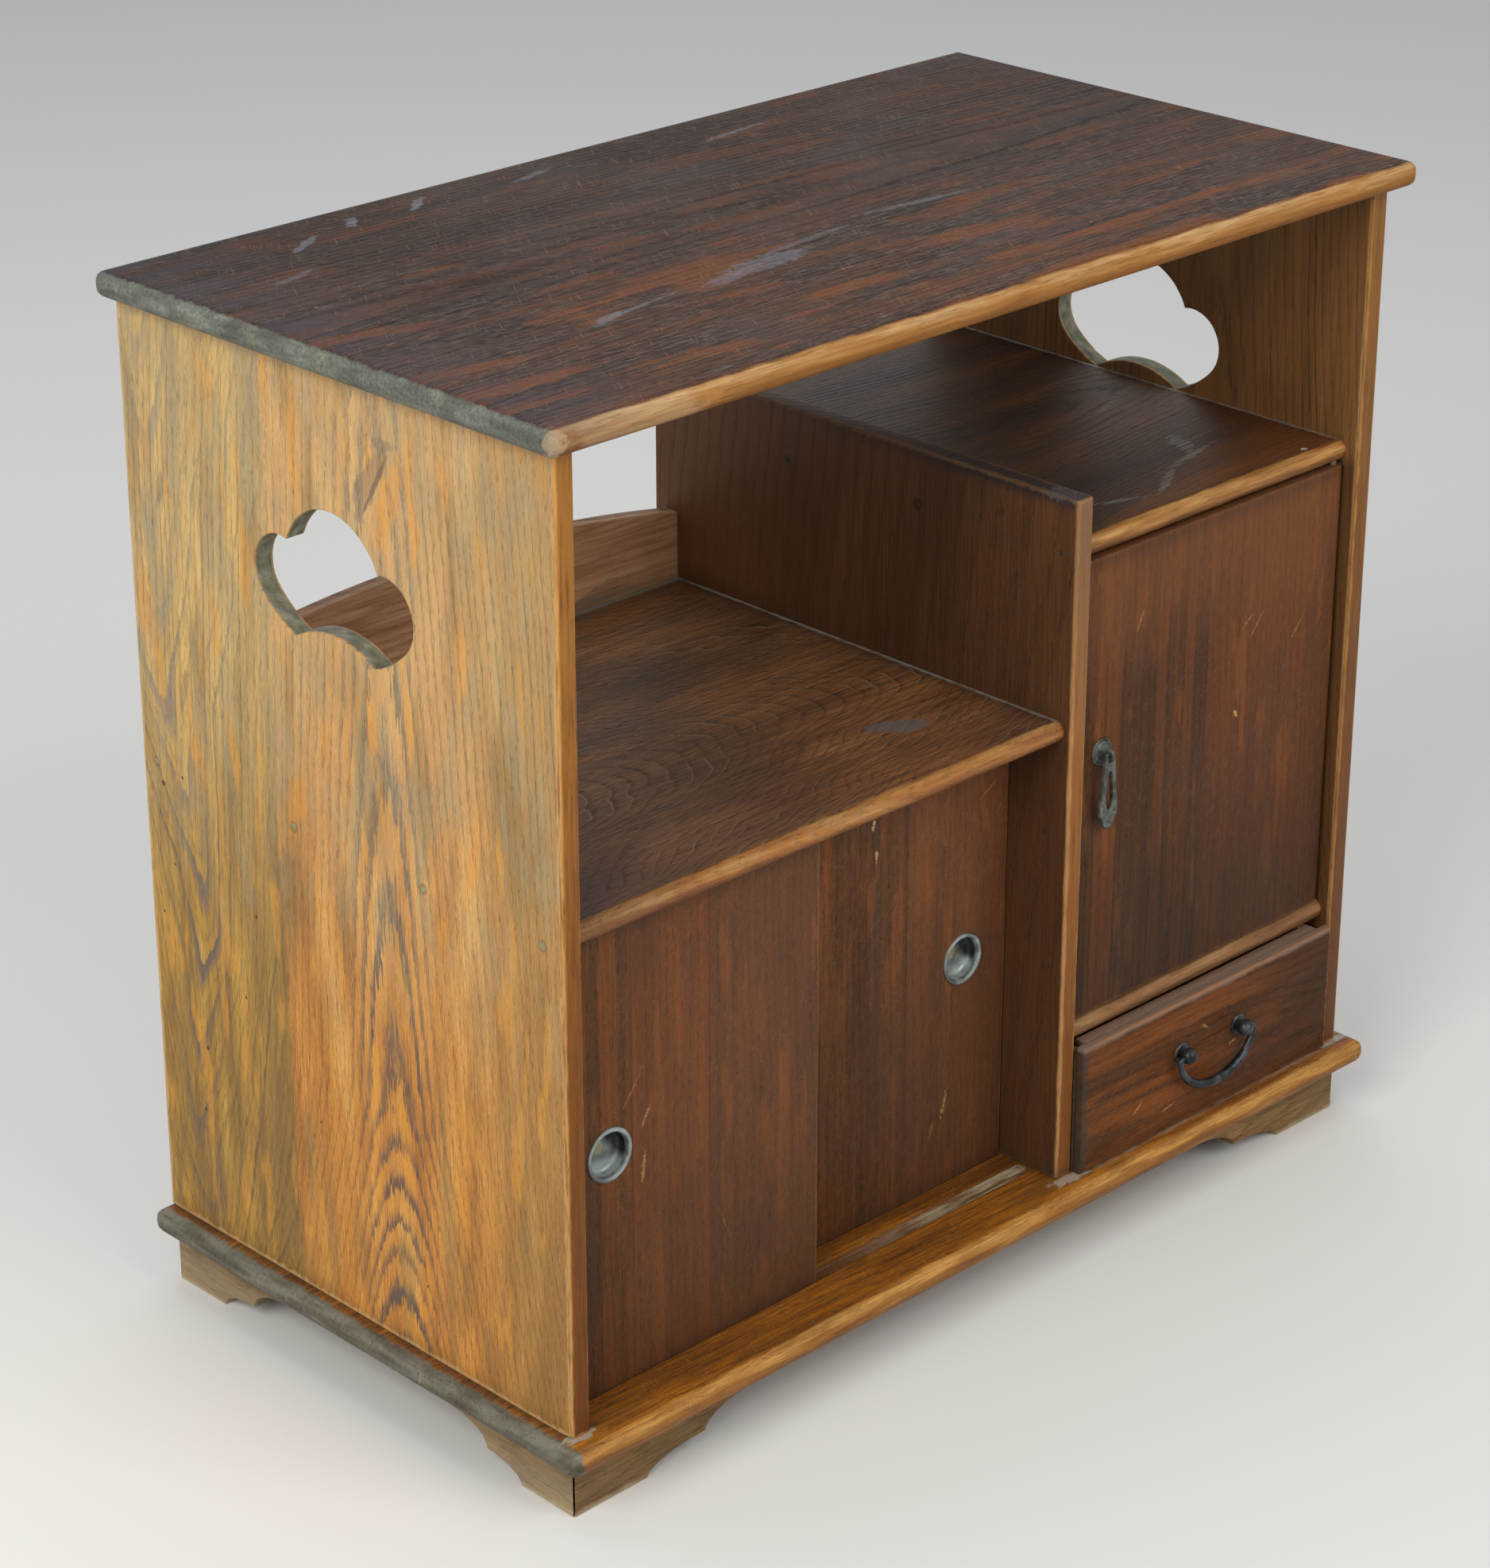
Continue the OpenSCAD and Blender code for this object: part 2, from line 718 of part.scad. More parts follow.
// Square blocks glued in the inner corners of the feet
module foot_blocks() {
    block_h = foot_h - block_lift;
    color(back_wood)
        for (right = [false, true]) foot_corner(right) {
            translate([foot_t, foot_t, -block_h]) cube([block_w, block_w, block_h]);
            at_rear() translate([foot_t, 0, -block_h]) cube([block_w, block_w, block_h]);
        }
}

module top_pegs() {
    color(peg_wood) in_place() top_peg_set(peg_r);
}

module base_pegs() {
    color(peg_wood) in_place() base_peg_set(peg_r);
}

module left_panel_pegs() {
    color(peg_wood) in_place() left_panel_peg_set(peg_r);
}

module right_panel_pegs() {
    color(peg_wood) in_place() right_panel_peg_set(peg_r);
}

module divider_pegs() {
    color(peg_wood) in_place() divider_peg_set(peg_r);
}

module back_nails() {
    color(iron) in_place() {
        nail_set(nail_r);
        for (p = nail_spots)
            translate([p.x, body_d + nail_head_h, p.y])
                rotate([90, 0, 0]) cylinder(r = nail_head_r, h = nail_head_h);
    }
}

// A sliding door with the hole for its finger pull
module sliding_door(x, y, cup_x) {
    color(door_wood) in_place() difference() {
        translate([x, y, slider_z]) cube([slider_w, slider_t, slider_h]);
        translate([cup_x, y - over, cup_z])
            rotate([-90, 0, 0]) cylinder(r = cup_body_r + peg_fit, h = cup_depth + peg_fit + over);
    }
}

// Section of a finger pull: a rolled rim and a cup of sheet metal
cup_body_r = cup_d / 2 - cup_rim_w;

module cup_section() {
    difference() {
        union() {
            square([cup_body_r, cup_depth - cup_corner]);
            square([cup_body_r - cup_corner, cup_depth]);
            translate([cup_body_r - cup_corner, cup_depth - cup_corner]) circle(r = cup_corner);
            translate([0, -cup_rim_h]) square([cup_d / 2 - cup_rim_h / 2, cup_rim_h]);
            translate([cup_d / 2 - cup_rim_h / 2, -cup_rim_h / 2]) circle(d = cup_rim_h);
        }
        translate([-over, -cup_rim_h - over])
            square([cup_body_r - cup_wall + over, cup_rim_h + over + cup_depth - cup_corner]);
        translate([-over, -over])
            square([cup_body_r - cup_corner + over, cup_depth - cup_wall + over]);
        translate([cup_body_r - cup_corner, cup_depth - cup_corner])
            circle(r = cup_corner - cup_wall);
    }
}

module finger_pull(x, y) {
    color(patina) in_place()
        translate([x, y, cup_z])
            rotate([-90, 0, 0]) rotate_extrude() cup_section();
}

left_slider_x = bay_l + slider_side_gap;
right_slider_x = divider_x - slider_side_gap - slider_w;
front_slider_y = front_track_y + track_gap;
rear_slider_y = rear_track_y + track_gap;
left_cup_x = left_slider_x + cup_in;
right_cup_x = right_slider_x + slider_w - cup_in;

module left_sliding_door() {
    sliding_door(left_slider_x, front_slider_y, left_cup_x);
}

module left_finger_pull() {
    finger_pull(left_cup_x, front_slider_y);
}

module right_sliding_door() {
    sliding_door(right_slider_x, rear_slider_y, right_cup_x);
}

module right_finger_pull() {
    finger_pull(right_cup_x, rear_slider_y);
}

// The two pivot pins, in line at the door's rounded edge
module pivot_pins(r) {
    translate([pivot_x, pivot_y, door_low - door_gap - pivot_reach])
        cylinder(r = r, h = pivot_reach + door_gap + pivot_set);
    translate([pivot_x, pivot_y, door_high - pivot_set])
        cylinder(r = r, h = pivot_set + door_gap + pivot_reach);
}

module pivoting_door() {
    color(door_wood) in_place() difference() {
        translate([0, 0, door_low])
            linear_extrude(door_high - door_low) {
                translate([door_left, door_set_back]) square([pivot_x - door_left, door_t]);
                translate([pivot_x, pivot_y]) circle(d = door_t);
            }
        pivot_pins(pivot_r + peg_fit);
        translate([pull_x, door_set_back - over, pull_z])
            rotate([-90, 0, 0]) cylinder(r = shank_r + peg_fit, h = door_t + 2 * over);
    }
}

module door_pivots() {
    color(iron) in_place() pivot_pins(pivot_r);
}

// Middle of the door pull's hinge
module at_pull() {
    in_place() translate([pull_x, door_set_back - eye_out, pull_z]) children();
}

rosette_ball_r = ((rosette_d / 2) ^ 2 + rosette_h ^ 2) / (2 * rosette_h);

// Domed washer against the door
module door_pull_rosette() {
    color(patina) at_pull()
        translate([0, eye_out, 0])
            rotate([90, 0, 0]) difference() {
                rotate_extrude() intersection() {
                    translate([0, rosette_h - rosette_ball_r]) circle(r = rosette_ball_r, $fn = 256);
                    square([rosette_d, rosette_d]);
                }
                translate([0, 0, -over]) cylinder(r = shank_r + peg_fit, h = rosette_h + 2 * over);
            }
}

// Split pin: an eye in front, a shank through the door, two bent ends behind
module door_pull_pin() {
    color(patina) at_pull() {
        rotate([0, 90, 0]) rotate_extrude() translate([eye_mid_r, 0]) circle(r = pin_wire_r);
        translate([0, eye_mid_r, 0])
            rotate([-90, 0, 0]) cylinder(r = shank_r, h = eye_out - eye_mid_r + door_t + pin_wire_r);
        translate([-pin_tail, eye_out + door_t + pin_wire_r, 0])
            rotate([0, 90, 0]) cylinder(r = pin_wire_r, h = 2 * pin_tail);
    }
}

// The drop's outline below its hinge, a long six-sided link with a heavy foot
drop_window_h = eye_out_r + 2 * drop_fit;
drop_window_w = pin_wire_r + 2 * drop_fit;
drop_low = drop_wide_down + drop_wide_len;
drop_top_r = drop_bar_r + drop_fit;
drop_outer = concat(
    arc([drop_top_w / 2 - drop_top_r, 0], drop_top_r, 90, 0, 5),
    [[drop_w / 2, -drop_wide_down]],
    arc([drop_w / 2 - drop_wide_len, -drop_low], drop_wide_len, 0, -40, 4),
    [[drop_tip_w / 2, -drop_len]]
);
slot_low = slot_down + slot_len;
slot_wide_down = slot_low - slot_w;
drop_slot = [
    [slot_top_w / 2, -slot_down], [slot_w / 2, -slot_wide_down], [0, -slot_low]
];

module mirrored_outline(half) {
    polygon(concat(half, [for (i = [len(half) - 1:-1:0]) [-half[i].x, half[i].y]]));
}

module door_pull_drop() {
    color(patina) at_pull() {
        translate([0, -drop_t / 2, 0]) along_y(drop_t) difference() {
            mirrored_outline(drop_outer);
            mirrored_outline(drop_slot);
            translate([-drop_window_w, -drop_window_h])
                square([2 * drop_window_w, drop_window_h + drop_len]);
        }
        translate([-drop_window_w - over, 0, 0])
            rotate([0, 90, 0]) cylinder(r = drop_bar_r, h = 2 * (drop_window_w + over));
    }
}

// Drawer front, rebated behind for the sides and the bottom
module drawer_front() {
    color(door_wood) in_place() difference() {
        translate([drawer_left, -drawer_proud, drawer_lift])
            cube([drawer_w, drawer_front_t, drawer_high - drawer_lift]);
        translate([drawer_left - over, drawer_inner_y - drawer_lap, drawer_lift - over])
            cube([drawer_w + 2 * over, drawer_lap + over, drawer_bottom_t + over]);
        for (x = [drawer_left - over, drawer_left + drawer_w - drawer_side_t])
            translate([x, drawer_inner_y - drawer_lap, drawer_side_z - over])
                cube([drawer_side_t + over, drawer_lap + over, drawer_side_h + over]);
        drawer_peg_set(drawer_peg_r + peg_fit);
        post_shanks(post_shank_r + peg_fit);
    }
}

module drawer_side(x) {
    color(back_wood) in_place() difference() {
        translate([x, drawer_inner_y - drawer_lap, drawer_side_z])
            cube([drawer_side_t, drawer_end_y - drawer_inner_y + drawer_lap, drawer_side_h]);
        drawer_peg_set(drawer_peg_r + peg_fit);
    }
}

module drawer_left_side() {
    drawer_side(drawer_left);
}

module drawer_right_side() {
    drawer_side(drawer_left + drawer_w - drawer_side_t);
}

module drawer_back() {
    color(back_wood) in_place() difference() {
        translate([drawer_left + drawer_side_t, drawer_end_y - drawer_back_t, drawer_side_z])
            cube([drawer_w - 2 * drawer_side_t, drawer_back_t, drawer_side_h]);
        drawer_peg_set(drawer_peg_r + peg_fit);
    }
}

module drawer_bottom() {
    color(back_wood) in_place()
        translate([drawer_left, drawer_inner_y - drawer_lap, drawer_lift])
            cube([drawer_w, drawer_end_y - drawer_inner_y + drawer_lap, drawer_bottom_t]);
}

// Small pegs through the drawer's sides into its front and back
module drawer_peg_set(r) {
    for (y = [drawer_inner_y - drawer_lap / 2, drawer_end_y - drawer_back_t / 2], k = [0.25, 0.75]) {
        z = drawer_side_z + k * drawer_side_h;
        translate([drawer_left, y, z])
            rotate([0, 90, 0]) cylinder(r = r, h = drawer_side_t + drawer_peg_reach);
        translate([drawer_left + drawer_w, y, z])
            rotate([0, -90, 0]) cylinder(r = r, h = drawer_side_t + drawer_peg_reach);
    }
}

module drawer_pegs() {
    color(peg_wood) in_place() drawer_peg_set(drawer_peg_r);
}

module post_shanks(r) {
    for (side = [-1, 1])
        translate([post_mid_x + side * post_span / 2, -drawer_proud - over, post_z])
            rotate([-90, 0, 0]) cylinder(r = r, h = drawer_front_t + 2 * over);
}

// Two posts with round heads, bored across for the ends of the bail
module drawer_handle_posts() {
    color(iron) in_place() difference() {
        for (side = [-1, 1])
            translate([post_mid_x + side * post_span / 2, handle_y, post_z])
                rotate([-90, 0, 0]) {
                    sphere(r = post_head_r);
                    cylinder(r = post_neck_r, h = post_out);
                    translate([0, 0, post_out - post_collar_h])
                        cylinder(d = post_collar_d, h = post_collar_h);
                    cylinder(r = post_shank_r, h = post_out + drawer_front_t + post_collar_h);
                    translate([0, 0, post_out + drawer_front_t])
                        cylinder(r = post_washer_r, h = post_collar_h);
                }
        translate([post_mid_x - post_span, handle_y, post_z])
            rotate([0, 90, 0]) cylinder(r = bail_pin_r + bail_fit, h = 2 * post_span);
    }
}

// The bail's middle line is half an ellipse and its thickness grows to the middle
bail_out = post_head_r + bail_side_gap + bail_knuckle_r;
bail_half_w = post_span / 2 + bail_out;
bail_rings = 30;
bail_sides = 14;
function bail_at(a) = [bail_half_w * sin(a), 0, -bail_drop * cos(a)];
function bail_way(a) = let (d = [bail_half_w * cos(a), 0, bail_drop * sin(a)]) d / norm(d);
function bail_r_at(a) = bail_pin_r + (bail_mid_r - bail_pin_r) * cos(a);
bail_points = [for (i = [0:bail_rings], k = [0:bail_sides - 1])
    let (a = -90 + 180 * i / bail_rings, b = 360 * k / bail_sides, w = bail_way(a))
    bail_at(a) + bail_r_at(a) * (cos(b) * [0, 1, 0] + sin(b) * cross(w, [0, 1, 0]))];
bail_skin = [for (i = [0:bail_rings - 1], k = [0:bail_sides - 1], half = [0, 1])
    let (a = i * bail_sides + k, b = i * bail_sides + (k + 1) % bail_sides, n = bail_sides)
    half == 0 ? [a, b + n, b] : [a, a + n, b + n]];
bail_caps = [[for (k = [0:bail_sides - 1]) k],
    [for (k = [bail_sides - 1:-1:0]) bail_rings * bail_sides + k]];

module drawer_bail() {
    color(iron) in_place() translate([post_mid_x, handle_y, post_z]) {
        polyhedron(bail_points, concat(bail_skin, bail_caps));
        for (side = [-1, 1])
            translate([side * bail_half_w, 0, 0]) {
                sphere(r = bail_knuckle_r);
                rotate([0, -side * 90, 0]) cylinder(r = bail_pin_r, h = bail_out + post_head_r / 2);
            }
    }
}

base_board();
top_board();
left_side_panel();
right_side_panel();
divider();
left_shelf();
left_shelf_rail();
right_shelf();
door_bay_floor();
left_back_board();
right_back_board();
door_stop();
front_left_foot_front();
front_left_foot_side();
front_right_foot_front();
front_right_foot_side();
rear_left_foot();
rear_right_foot();
foot_blocks();
top_pegs();
base_pegs();
left_panel_pegs();
right_panel_pegs();
divider_pegs();
back_nails();
left_sliding_door();
left_finger_pull();
right_sliding_door();
right_finger_pull();
pivoting_door();
door_pivots();
door_pull_rosette();
door_pull_pin();
door_pull_drop();
drawer_front();
drawer_left_side();
drawer_right_side();
drawer_back();
drawer_bottom();
drawer_pegs();
drawer_handle_posts();
drawer_bail();
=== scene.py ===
# %% [markdown]
# # A tea cabinet of worn softwood
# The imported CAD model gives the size, the place and the joints of every board. This lesson only
# dresses it: each board gets a mesh with worn, uneven arrises, and each finish is a procedural
# material. Nothing is moved or resized, so every new piece is built from its CAD node's own box.

# %% Load the frame
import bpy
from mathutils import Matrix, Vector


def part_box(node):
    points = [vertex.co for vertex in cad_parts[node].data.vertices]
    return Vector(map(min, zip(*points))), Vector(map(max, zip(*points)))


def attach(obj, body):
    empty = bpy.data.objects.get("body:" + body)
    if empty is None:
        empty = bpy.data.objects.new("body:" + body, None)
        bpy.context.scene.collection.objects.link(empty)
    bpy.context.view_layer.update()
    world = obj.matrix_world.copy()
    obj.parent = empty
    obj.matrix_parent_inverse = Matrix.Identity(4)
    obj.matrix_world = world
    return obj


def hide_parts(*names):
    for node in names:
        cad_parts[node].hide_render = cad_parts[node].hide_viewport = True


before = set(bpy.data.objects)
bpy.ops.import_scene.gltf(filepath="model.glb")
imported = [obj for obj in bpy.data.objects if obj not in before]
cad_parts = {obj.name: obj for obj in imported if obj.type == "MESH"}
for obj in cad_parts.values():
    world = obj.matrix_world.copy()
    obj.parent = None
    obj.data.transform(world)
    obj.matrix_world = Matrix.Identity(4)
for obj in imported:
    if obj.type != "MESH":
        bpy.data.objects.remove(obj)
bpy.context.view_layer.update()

# %% [markdown]
# ## Measures
# A cabinet maker measures from the carcass's own corner, in millimetres. The CAD does the same:
# x from the left panel's outer face, y from the front of the side panels, z from the base board's
# top. Blender works in metres, so two small functions change between them. The corner is read
# from the left panel's box and is never typed in.

# %% Millimetres from the carcass's corner
import math
from functools import partialmethod
import bmesh
import bpy
from mathutils import Vector, geometry, noise

MM = 0.001
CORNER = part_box("left_side_panel")[0]


def metres(x, y, z):
    """A point in carcass millimetres, in the shared frame."""
    return Vector((x, y, z)) * MM + CORNER


def span(node):
    """A node's lowest and highest corner in carcass millimetres."""
    low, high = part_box(node)
    return (low - CORNER) / MM, (high - CORNER) / MM


CARCASS_W, BODY_D, BODY_H = span("right_side_panel")[1]
print("carcass, mm:", round(CARCASS_W, 1), round(BODY_D, 1), round(BODY_H, 1))

# %% [markdown]
# ## Camera
# The photograph was taken with a long lens from the front left, a little above the top board.
# Its place was solved from points on the cabinet's straight edges. A camera could be aimed by an
# empty and a constraint; here its direction is worked out from two angles, because that is what
# the solution gives: 44.4 degrees round from the front, and 23.2 degrees down.

# %% Camera
SENSOR = 36.0
LENS = 94.157
EYE = Vector((-1.2002, -1.1992, 0.9791))
ROUND = math.radians(44.431)
DOWN = math.radians(23.242)

lens = bpy.data.cameras.new("photo_view")
lens.sensor_width = SENSOR
lens.lens = LENS
lens.shift_y = -0.05
camera = bpy.data.objects.new("photo_view", lens)
bpy.context.scene.collection.objects.link(camera)
gaze = Vector((math.sin(ROUND) * math.cos(DOWN), math.cos(ROUND) * math.cos(DOWN), -math.sin(DOWN)))
camera.location = EYE
camera.rotation_euler = gaze.to_track_quat("-Z", "Y").to_euler()
bpy.context.scene.camera = camera
print("camera at", tuple(round(v, 3) for v in EYE), "looks along", tuple(round(v, 3) for v in gaze))

# %% [markdown]
# ## Writing a finish as formulas
# A wood finish needs many math nodes. They could be placed by hand in the Shader Editor, but a
# formula is easier to read and to change. `Field` holds one number that varies over the surface,
# and its operators place the math nodes. `fade` is the most useful one: it rises smoothly from 0
# to 1 between two values, or falls where the first is the greater. `add_node` places any other
# node with its inputs; the world and the pegs use it too.

# %% Field: shader arithmetic
def plug(tree, slot, value):
    """Links a field or an output to a socket, or sets the socket to a plain value."""
    if isinstance(value, Field):
        value = value.socket
    if isinstance(value, bpy.types.NodeSocket):
        tree.links.new(value, slot)
    else:
        slot.default_value = value


def add_node(tree, kind, **inputs):
    """Adds a node and plugs its inputs, which are named with _ for each space."""
    step = tree.nodes.new(kind)
    for name, value in inputs.items():
        plug(tree, step.inputs[name.replace("_", " ")], value)
    return step


class Field:
    """A number that varies over a surface, as a socket of a node tree."""

    def __init__(self, tree, socket):
        self.tree = tree
        self.socket = socket

    def math(self, kind, *others):
        step = self.tree.nodes.new("ShaderNodeMath")
        step.operation = kind
        for slot, value in zip(step.inputs, (self,) + others):
            plug(self.tree, slot, value)
        return Field(self.tree, step.outputs[0])

    __add__ = partialmethod(math, "ADD")
    __sub__ = partialmethod(math, "SUBTRACT")
    __mul__ = partialmethod(math, "MULTIPLY")
    __truediv__ = partialmethod(math, "DIVIDE")
    least = partialmethod(math, "MINIMUM")
    most = partialmethod(math, "MAXIMUM")

    def less_from(self, value):
        """value minus this field."""
        return (self * -1.0) + value

    def away(self, place):
        """How far this field is from a value, on either side."""
        return (self - place).math("ABSOLUTE")

    def diagonal(self, other):
        """The distance that two distances at right angles give."""
        return (self * self + other * other).math("SQRT")

    def fade(self, start, end):
        """0 at start, 1 at end, smooth between them."""
        low, high = (0.0, 1.0) if start < end else (1.0, 0.0)
        step = add_node(self.tree, "ShaderNodeMapRange", Value=self, From_Min=min(start, end),
                        From_Max=max(start, end), To_Min=low, To_Max=high)
        step.interpolation_type = "SMOOTHSTEP"
        return Field(self.tree, step.outputs["Result"])

    def band(self, a, b, c, d):
        """0 below a and above d, 1 from b to c, smooth between them."""
        return self.fade(a, b) * self.fade(d, c)


def tone(red, green, blue):
    """A colour as a paint chart gives it, 0 to 255, in Blender's linear numbers."""
    chart = [value / 255 for value in (red, green, blue)]
    return [c / 12.92 if c <= 0.04045 else ((c + 0.055) / 1.055) ** 2.4 for c in chart] + [1.0]


print("tone(128, 128, 128) =", [round(v, 3) for v in tone(128, 128, 128)])

# %% [markdown]
# ## Floor and light
# A pale floor and large soft lamps show the wood plainly, and a colour renders about as it is
# written. The brightest lamp stands at the left, as the daylight does in the photograph, so the
# left panel is the lightest face. The world is a plain pale colour where the camera and glossy
# rays see it, and dimmer where it lights the wood.

# %% Floor and world
bpy.context.scene.view_settings.view_transform = "Standard"
FLOOR_HALF = 9.0

sheet = bpy.data.meshes.new("floor")
corners = [(-1, -1), (1, -1), (1, 1), (-1, 1)]
sheet.from_pydata([(FLOOR_HALF * a, FLOOR_HALF * b, 0) for a, b in corners], [], [(0, 1, 2, 3)])
floor = bpy.data.objects.new("floor", sheet)
bpy.context.scene.collection.objects.link(floor)

floor_paint = bpy.data.materials.new("floor_paint")
floor_paint.use_nodes = True
pale = floor_paint.node_tree.nodes["Principled BSDF"].inputs
pale["Base Color"].default_value = (0.72, 0.72, 0.71, 1)
pale["Roughness"].default_value = 0.9
pale["Specular IOR Level"].default_value = 0.1
sheet.materials.append(floor_paint)

world = bpy.data.worlds.new("studio")
bpy.context.scene.world = world
world.use_nodes = True
sky = world.node_tree
sky.nodes.clear()
paths = add_node(sky, "ShaderNodeLightPath")
seen = Field(sky, paths.outputs["Is Camera Ray"])
for ray in ("Is Glossy Ray", "Is Transmission Ray"):
    seen = seen.most(Field(sky, paths.outputs[ray]))
level = add_node(sky, "ShaderNodeMapRange", Value=seen, To_Min=0.42, To_Max=0.9)
glow = add_node(sky, "ShaderNodeBackground", Color=(0.94, 0.97, 1.0, 1), Strength=level.outputs["Result"])
add_node(sky, "ShaderNodeOutputWorld", Surface=glow.outputs[0])
print("floor:", 2 * FLOOR_HALF, "m wide; world nodes:", len(sky.nodes))

# %% Lamps
AIM = Vector((0, 0, 0.22))


def lamp(name, place, size, watts, colour):
    """A square soft lamp that looks at the middle of the cabinet."""
    light = bpy.data.lights.new(name, "AREA")
    light.size = size
    light.energy = watts
    light.color = colour
    holder = bpy.data.objects.new(name, light)
    bpy.context.scene.collection.objects.link(holder)
    holder.location = place
    holder.rotation_euler = (AIM - Vector(place)).to_track_quat("-Z", "Y").to_euler()
    return holder


lamps = [
    lamp("window_left", (-2.3, -0.6, 1.7), 1.7, 58, (1.0, 0.97, 0.91)),
    lamp("front_fill", (0.4, -2.3, 1.75), 1.8, 36, (1.0, 0.96, 0.9)),
    lamp("top_sky", (0.2, 0.9, 2.4), 1.8, 12, (0.93, 0.97, 1.0)),
]
print("lamps:", [holder.name for holder in lamps])

# %% [markdown]
# ## A finish on a board
# Every board has its grain along its length, so a finish is told which of x, y and z run along
# the grain, across it and into the board. Patterns read Object coordinates: they sit still on
# the piece when its joint moves, and they run on round an arris from face to end grain, as they
# do in solid wood. Masks cover the wood with dirt, wear and stains, one over the other.

# %% Finish: one material in layers
class Finish:
    """A procedural material that is built up in layers of colour."""

    def __init__(self, name, axes):
        self.material = bpy.data.materials.new(name)
        self.material.use_nodes = True
        self.tree = self.material.node_tree
        self.shader = self.tree.nodes["Principled BSDF"]
        place = self.node("ShaderNodeTexCoord").outputs["Object"]
        scaled = self.node("ShaderNodeVectorMath")
        scaled.operation = "MULTIPLY_ADD"
        for slot, value in zip(scaled.inputs, (place, [1 / MM] * 3, -CORNER / MM)):
            plug(self.tree, slot, value)
        parts = self.node("ShaderNodeSeparateXYZ", Vector=scaled.outputs[0])
        self.x, self.y, self.z = [Field(self.tree, parts.outputs[i]) for i in range(3)]
        self.along, self.across, self.deep = [getattr(self, axis) for axis in axes]
        self.board = self.vector(self.along, self.across, self.deep)

    def node(self, kind, **inputs):
        return add_node(self.tree, kind, **inputs)

    def vector(self, a, b, c):
        return self.node("ShaderNodeCombineXYZ", X=a, Y=b, Z=c).outputs[0]

    def noise(self, size, seed, detail=1.5, start=None):
        """Soft noise from 0 to 1, whose lumps measure size in mm along, across and into the grain."""
        place = self.node("ShaderNodeMapping", Vector=start or self.board, Scale=[1 / s for s in size],
                          Location=(seed * 7.31, seed * 3.77, seed * 5.13))
        lumps = self.node("ShaderNodeTexNoise", Vector=place.outputs[0], Scale=1.0, Detail=detail)
        return Field(self.tree, lumps.outputs[0])

    def patch(self, size, seed, start, end, detail=3.0):
        """Patches of noise, 0 below start and 1 above end, or the other way round."""
        return self.noise(size, seed, detail).fade(start, end)

    def stain(self, size, seed, start, end, amount, colour):
        """Covers patches of noise with a colour."""
        self.cover(self.patch(size, seed, start, end) * amount, colour)

    def drift(self, field, reach):
        """A field that the clouds of the wood push to and fro, so that no edge is straight."""
        return field + (self.cloud - 0.5) * reach

    def chance(self, value):
        """A random number from 0 to 1 for each whole value."""
        dice = self.node("ShaderNodeTexWhiteNoise")
        dice.noise_dimensions = "1D"
        plug(self.tree, dice.inputs["W"], value)
        return Field(self.tree, dice.outputs["Value"])

    def ramp(self, value, stops):
        """Colours along a value, as pairs of position and tone."""
        scale = self.node("ShaderNodeValToRGB", Fac=value)
        keys = scale.color_ramp.elements
        while len(keys) < len(stops):
            keys.new(0.5)
        for key, (position, colour) in zip(keys, sorted(stops)):
            key.position = position
            key.color = tone(*colour)
        return scale.outputs[0]

    def even_ramp(self, value, tones, first, reach):
        """A ramp whose tones stand evenly from first to first + reach."""
        return self.ramp(value, [(first + reach * i / (len(tones) - 1), t) for i, t in enumerate(tones)])

    def blend(self, mask, under, over):
        mix = self.node("ShaderNodeMix")
        mix.data_type = "RGBA"
        plug(self.tree, mix.inputs[0], mask)
        for slot, colour in ((mix.inputs[6], under), (mix.inputs[7], over)):
            plug(self.tree, slot, tone(*colour) if isinstance(colour, (list, tuple)) else colour)
        return mix.outputs[2]

    def cover(self, mask, colour):
        """Lays a colour over what is there, where the mask is 1."""
        self.colour = self.blend(mask, self.colour, colour)

    def shade(self, mask, value, stops):
        """Covers with colours that change along a value."""
        self.cover(mask, self.ramp(value, stops))

    def turned_by(self, u, v, degrees):
        """Two fields turned about their zero."""
        c, s = math.cos(math.radians(degrees)), math.sin(math.radians(degrees))
        return u * c + v * s, v * c - u * s

    def spot(self, centre, size, turn=0.0, ragged=0.5, seed=1.0, lumps=6.0, axes="along across"):
        """A ragged oval mark, 1 inside and 0 outside. Its place and size are in mm."""
        u, v = [getattr(self, name) - middle for name, middle in zip(axes.split(), centre)]
        long, wide = self.turned_by(u, v, turn)
        reach = (long / size[0]).diagonal(wide / size[1])
        rough = self.noise((lumps, lumps / 2, lumps), seed, 3.0) - 0.5
        return (reach + rough * (2 * ragged)).fade(1.0, 0.72)

    def arris(self, node, reach, seed):
        """1 on the worn arrises of a node's box, 0 further in than reach."""
        low, high = span(node)
        gaps = [(p - a).least(p.less_from(b)) for p, a, b in zip((self.x, self.y, self.z), low, high)]
        total = gaps[0] + gaps[1] + gaps[2]
        least = gaps[0].least(gaps[1]).least(gaps[2])
        most = gaps[0].most(gaps[1]).most(gaps[2])
        rub = self.noise((16, 4, 4), seed, 3.0) - 0.5
        return (total - least - most + rub * (1.6 * reach)).fade(reach, reach * 0.25)

    def scratches(self, turn, length, width, seed, share, amount, colour):
        """Covers fine strokes that run at an angle to the grain."""
        u, v = self.turned_by(self.along, self.across, turn)
        strokes = self.noise((length, width, 5), seed, 0.0, self.vector(u, v, self.deep))
        self.cover(strokes.fade(1 - share, 1 - share + 0.05) * amount, colour)

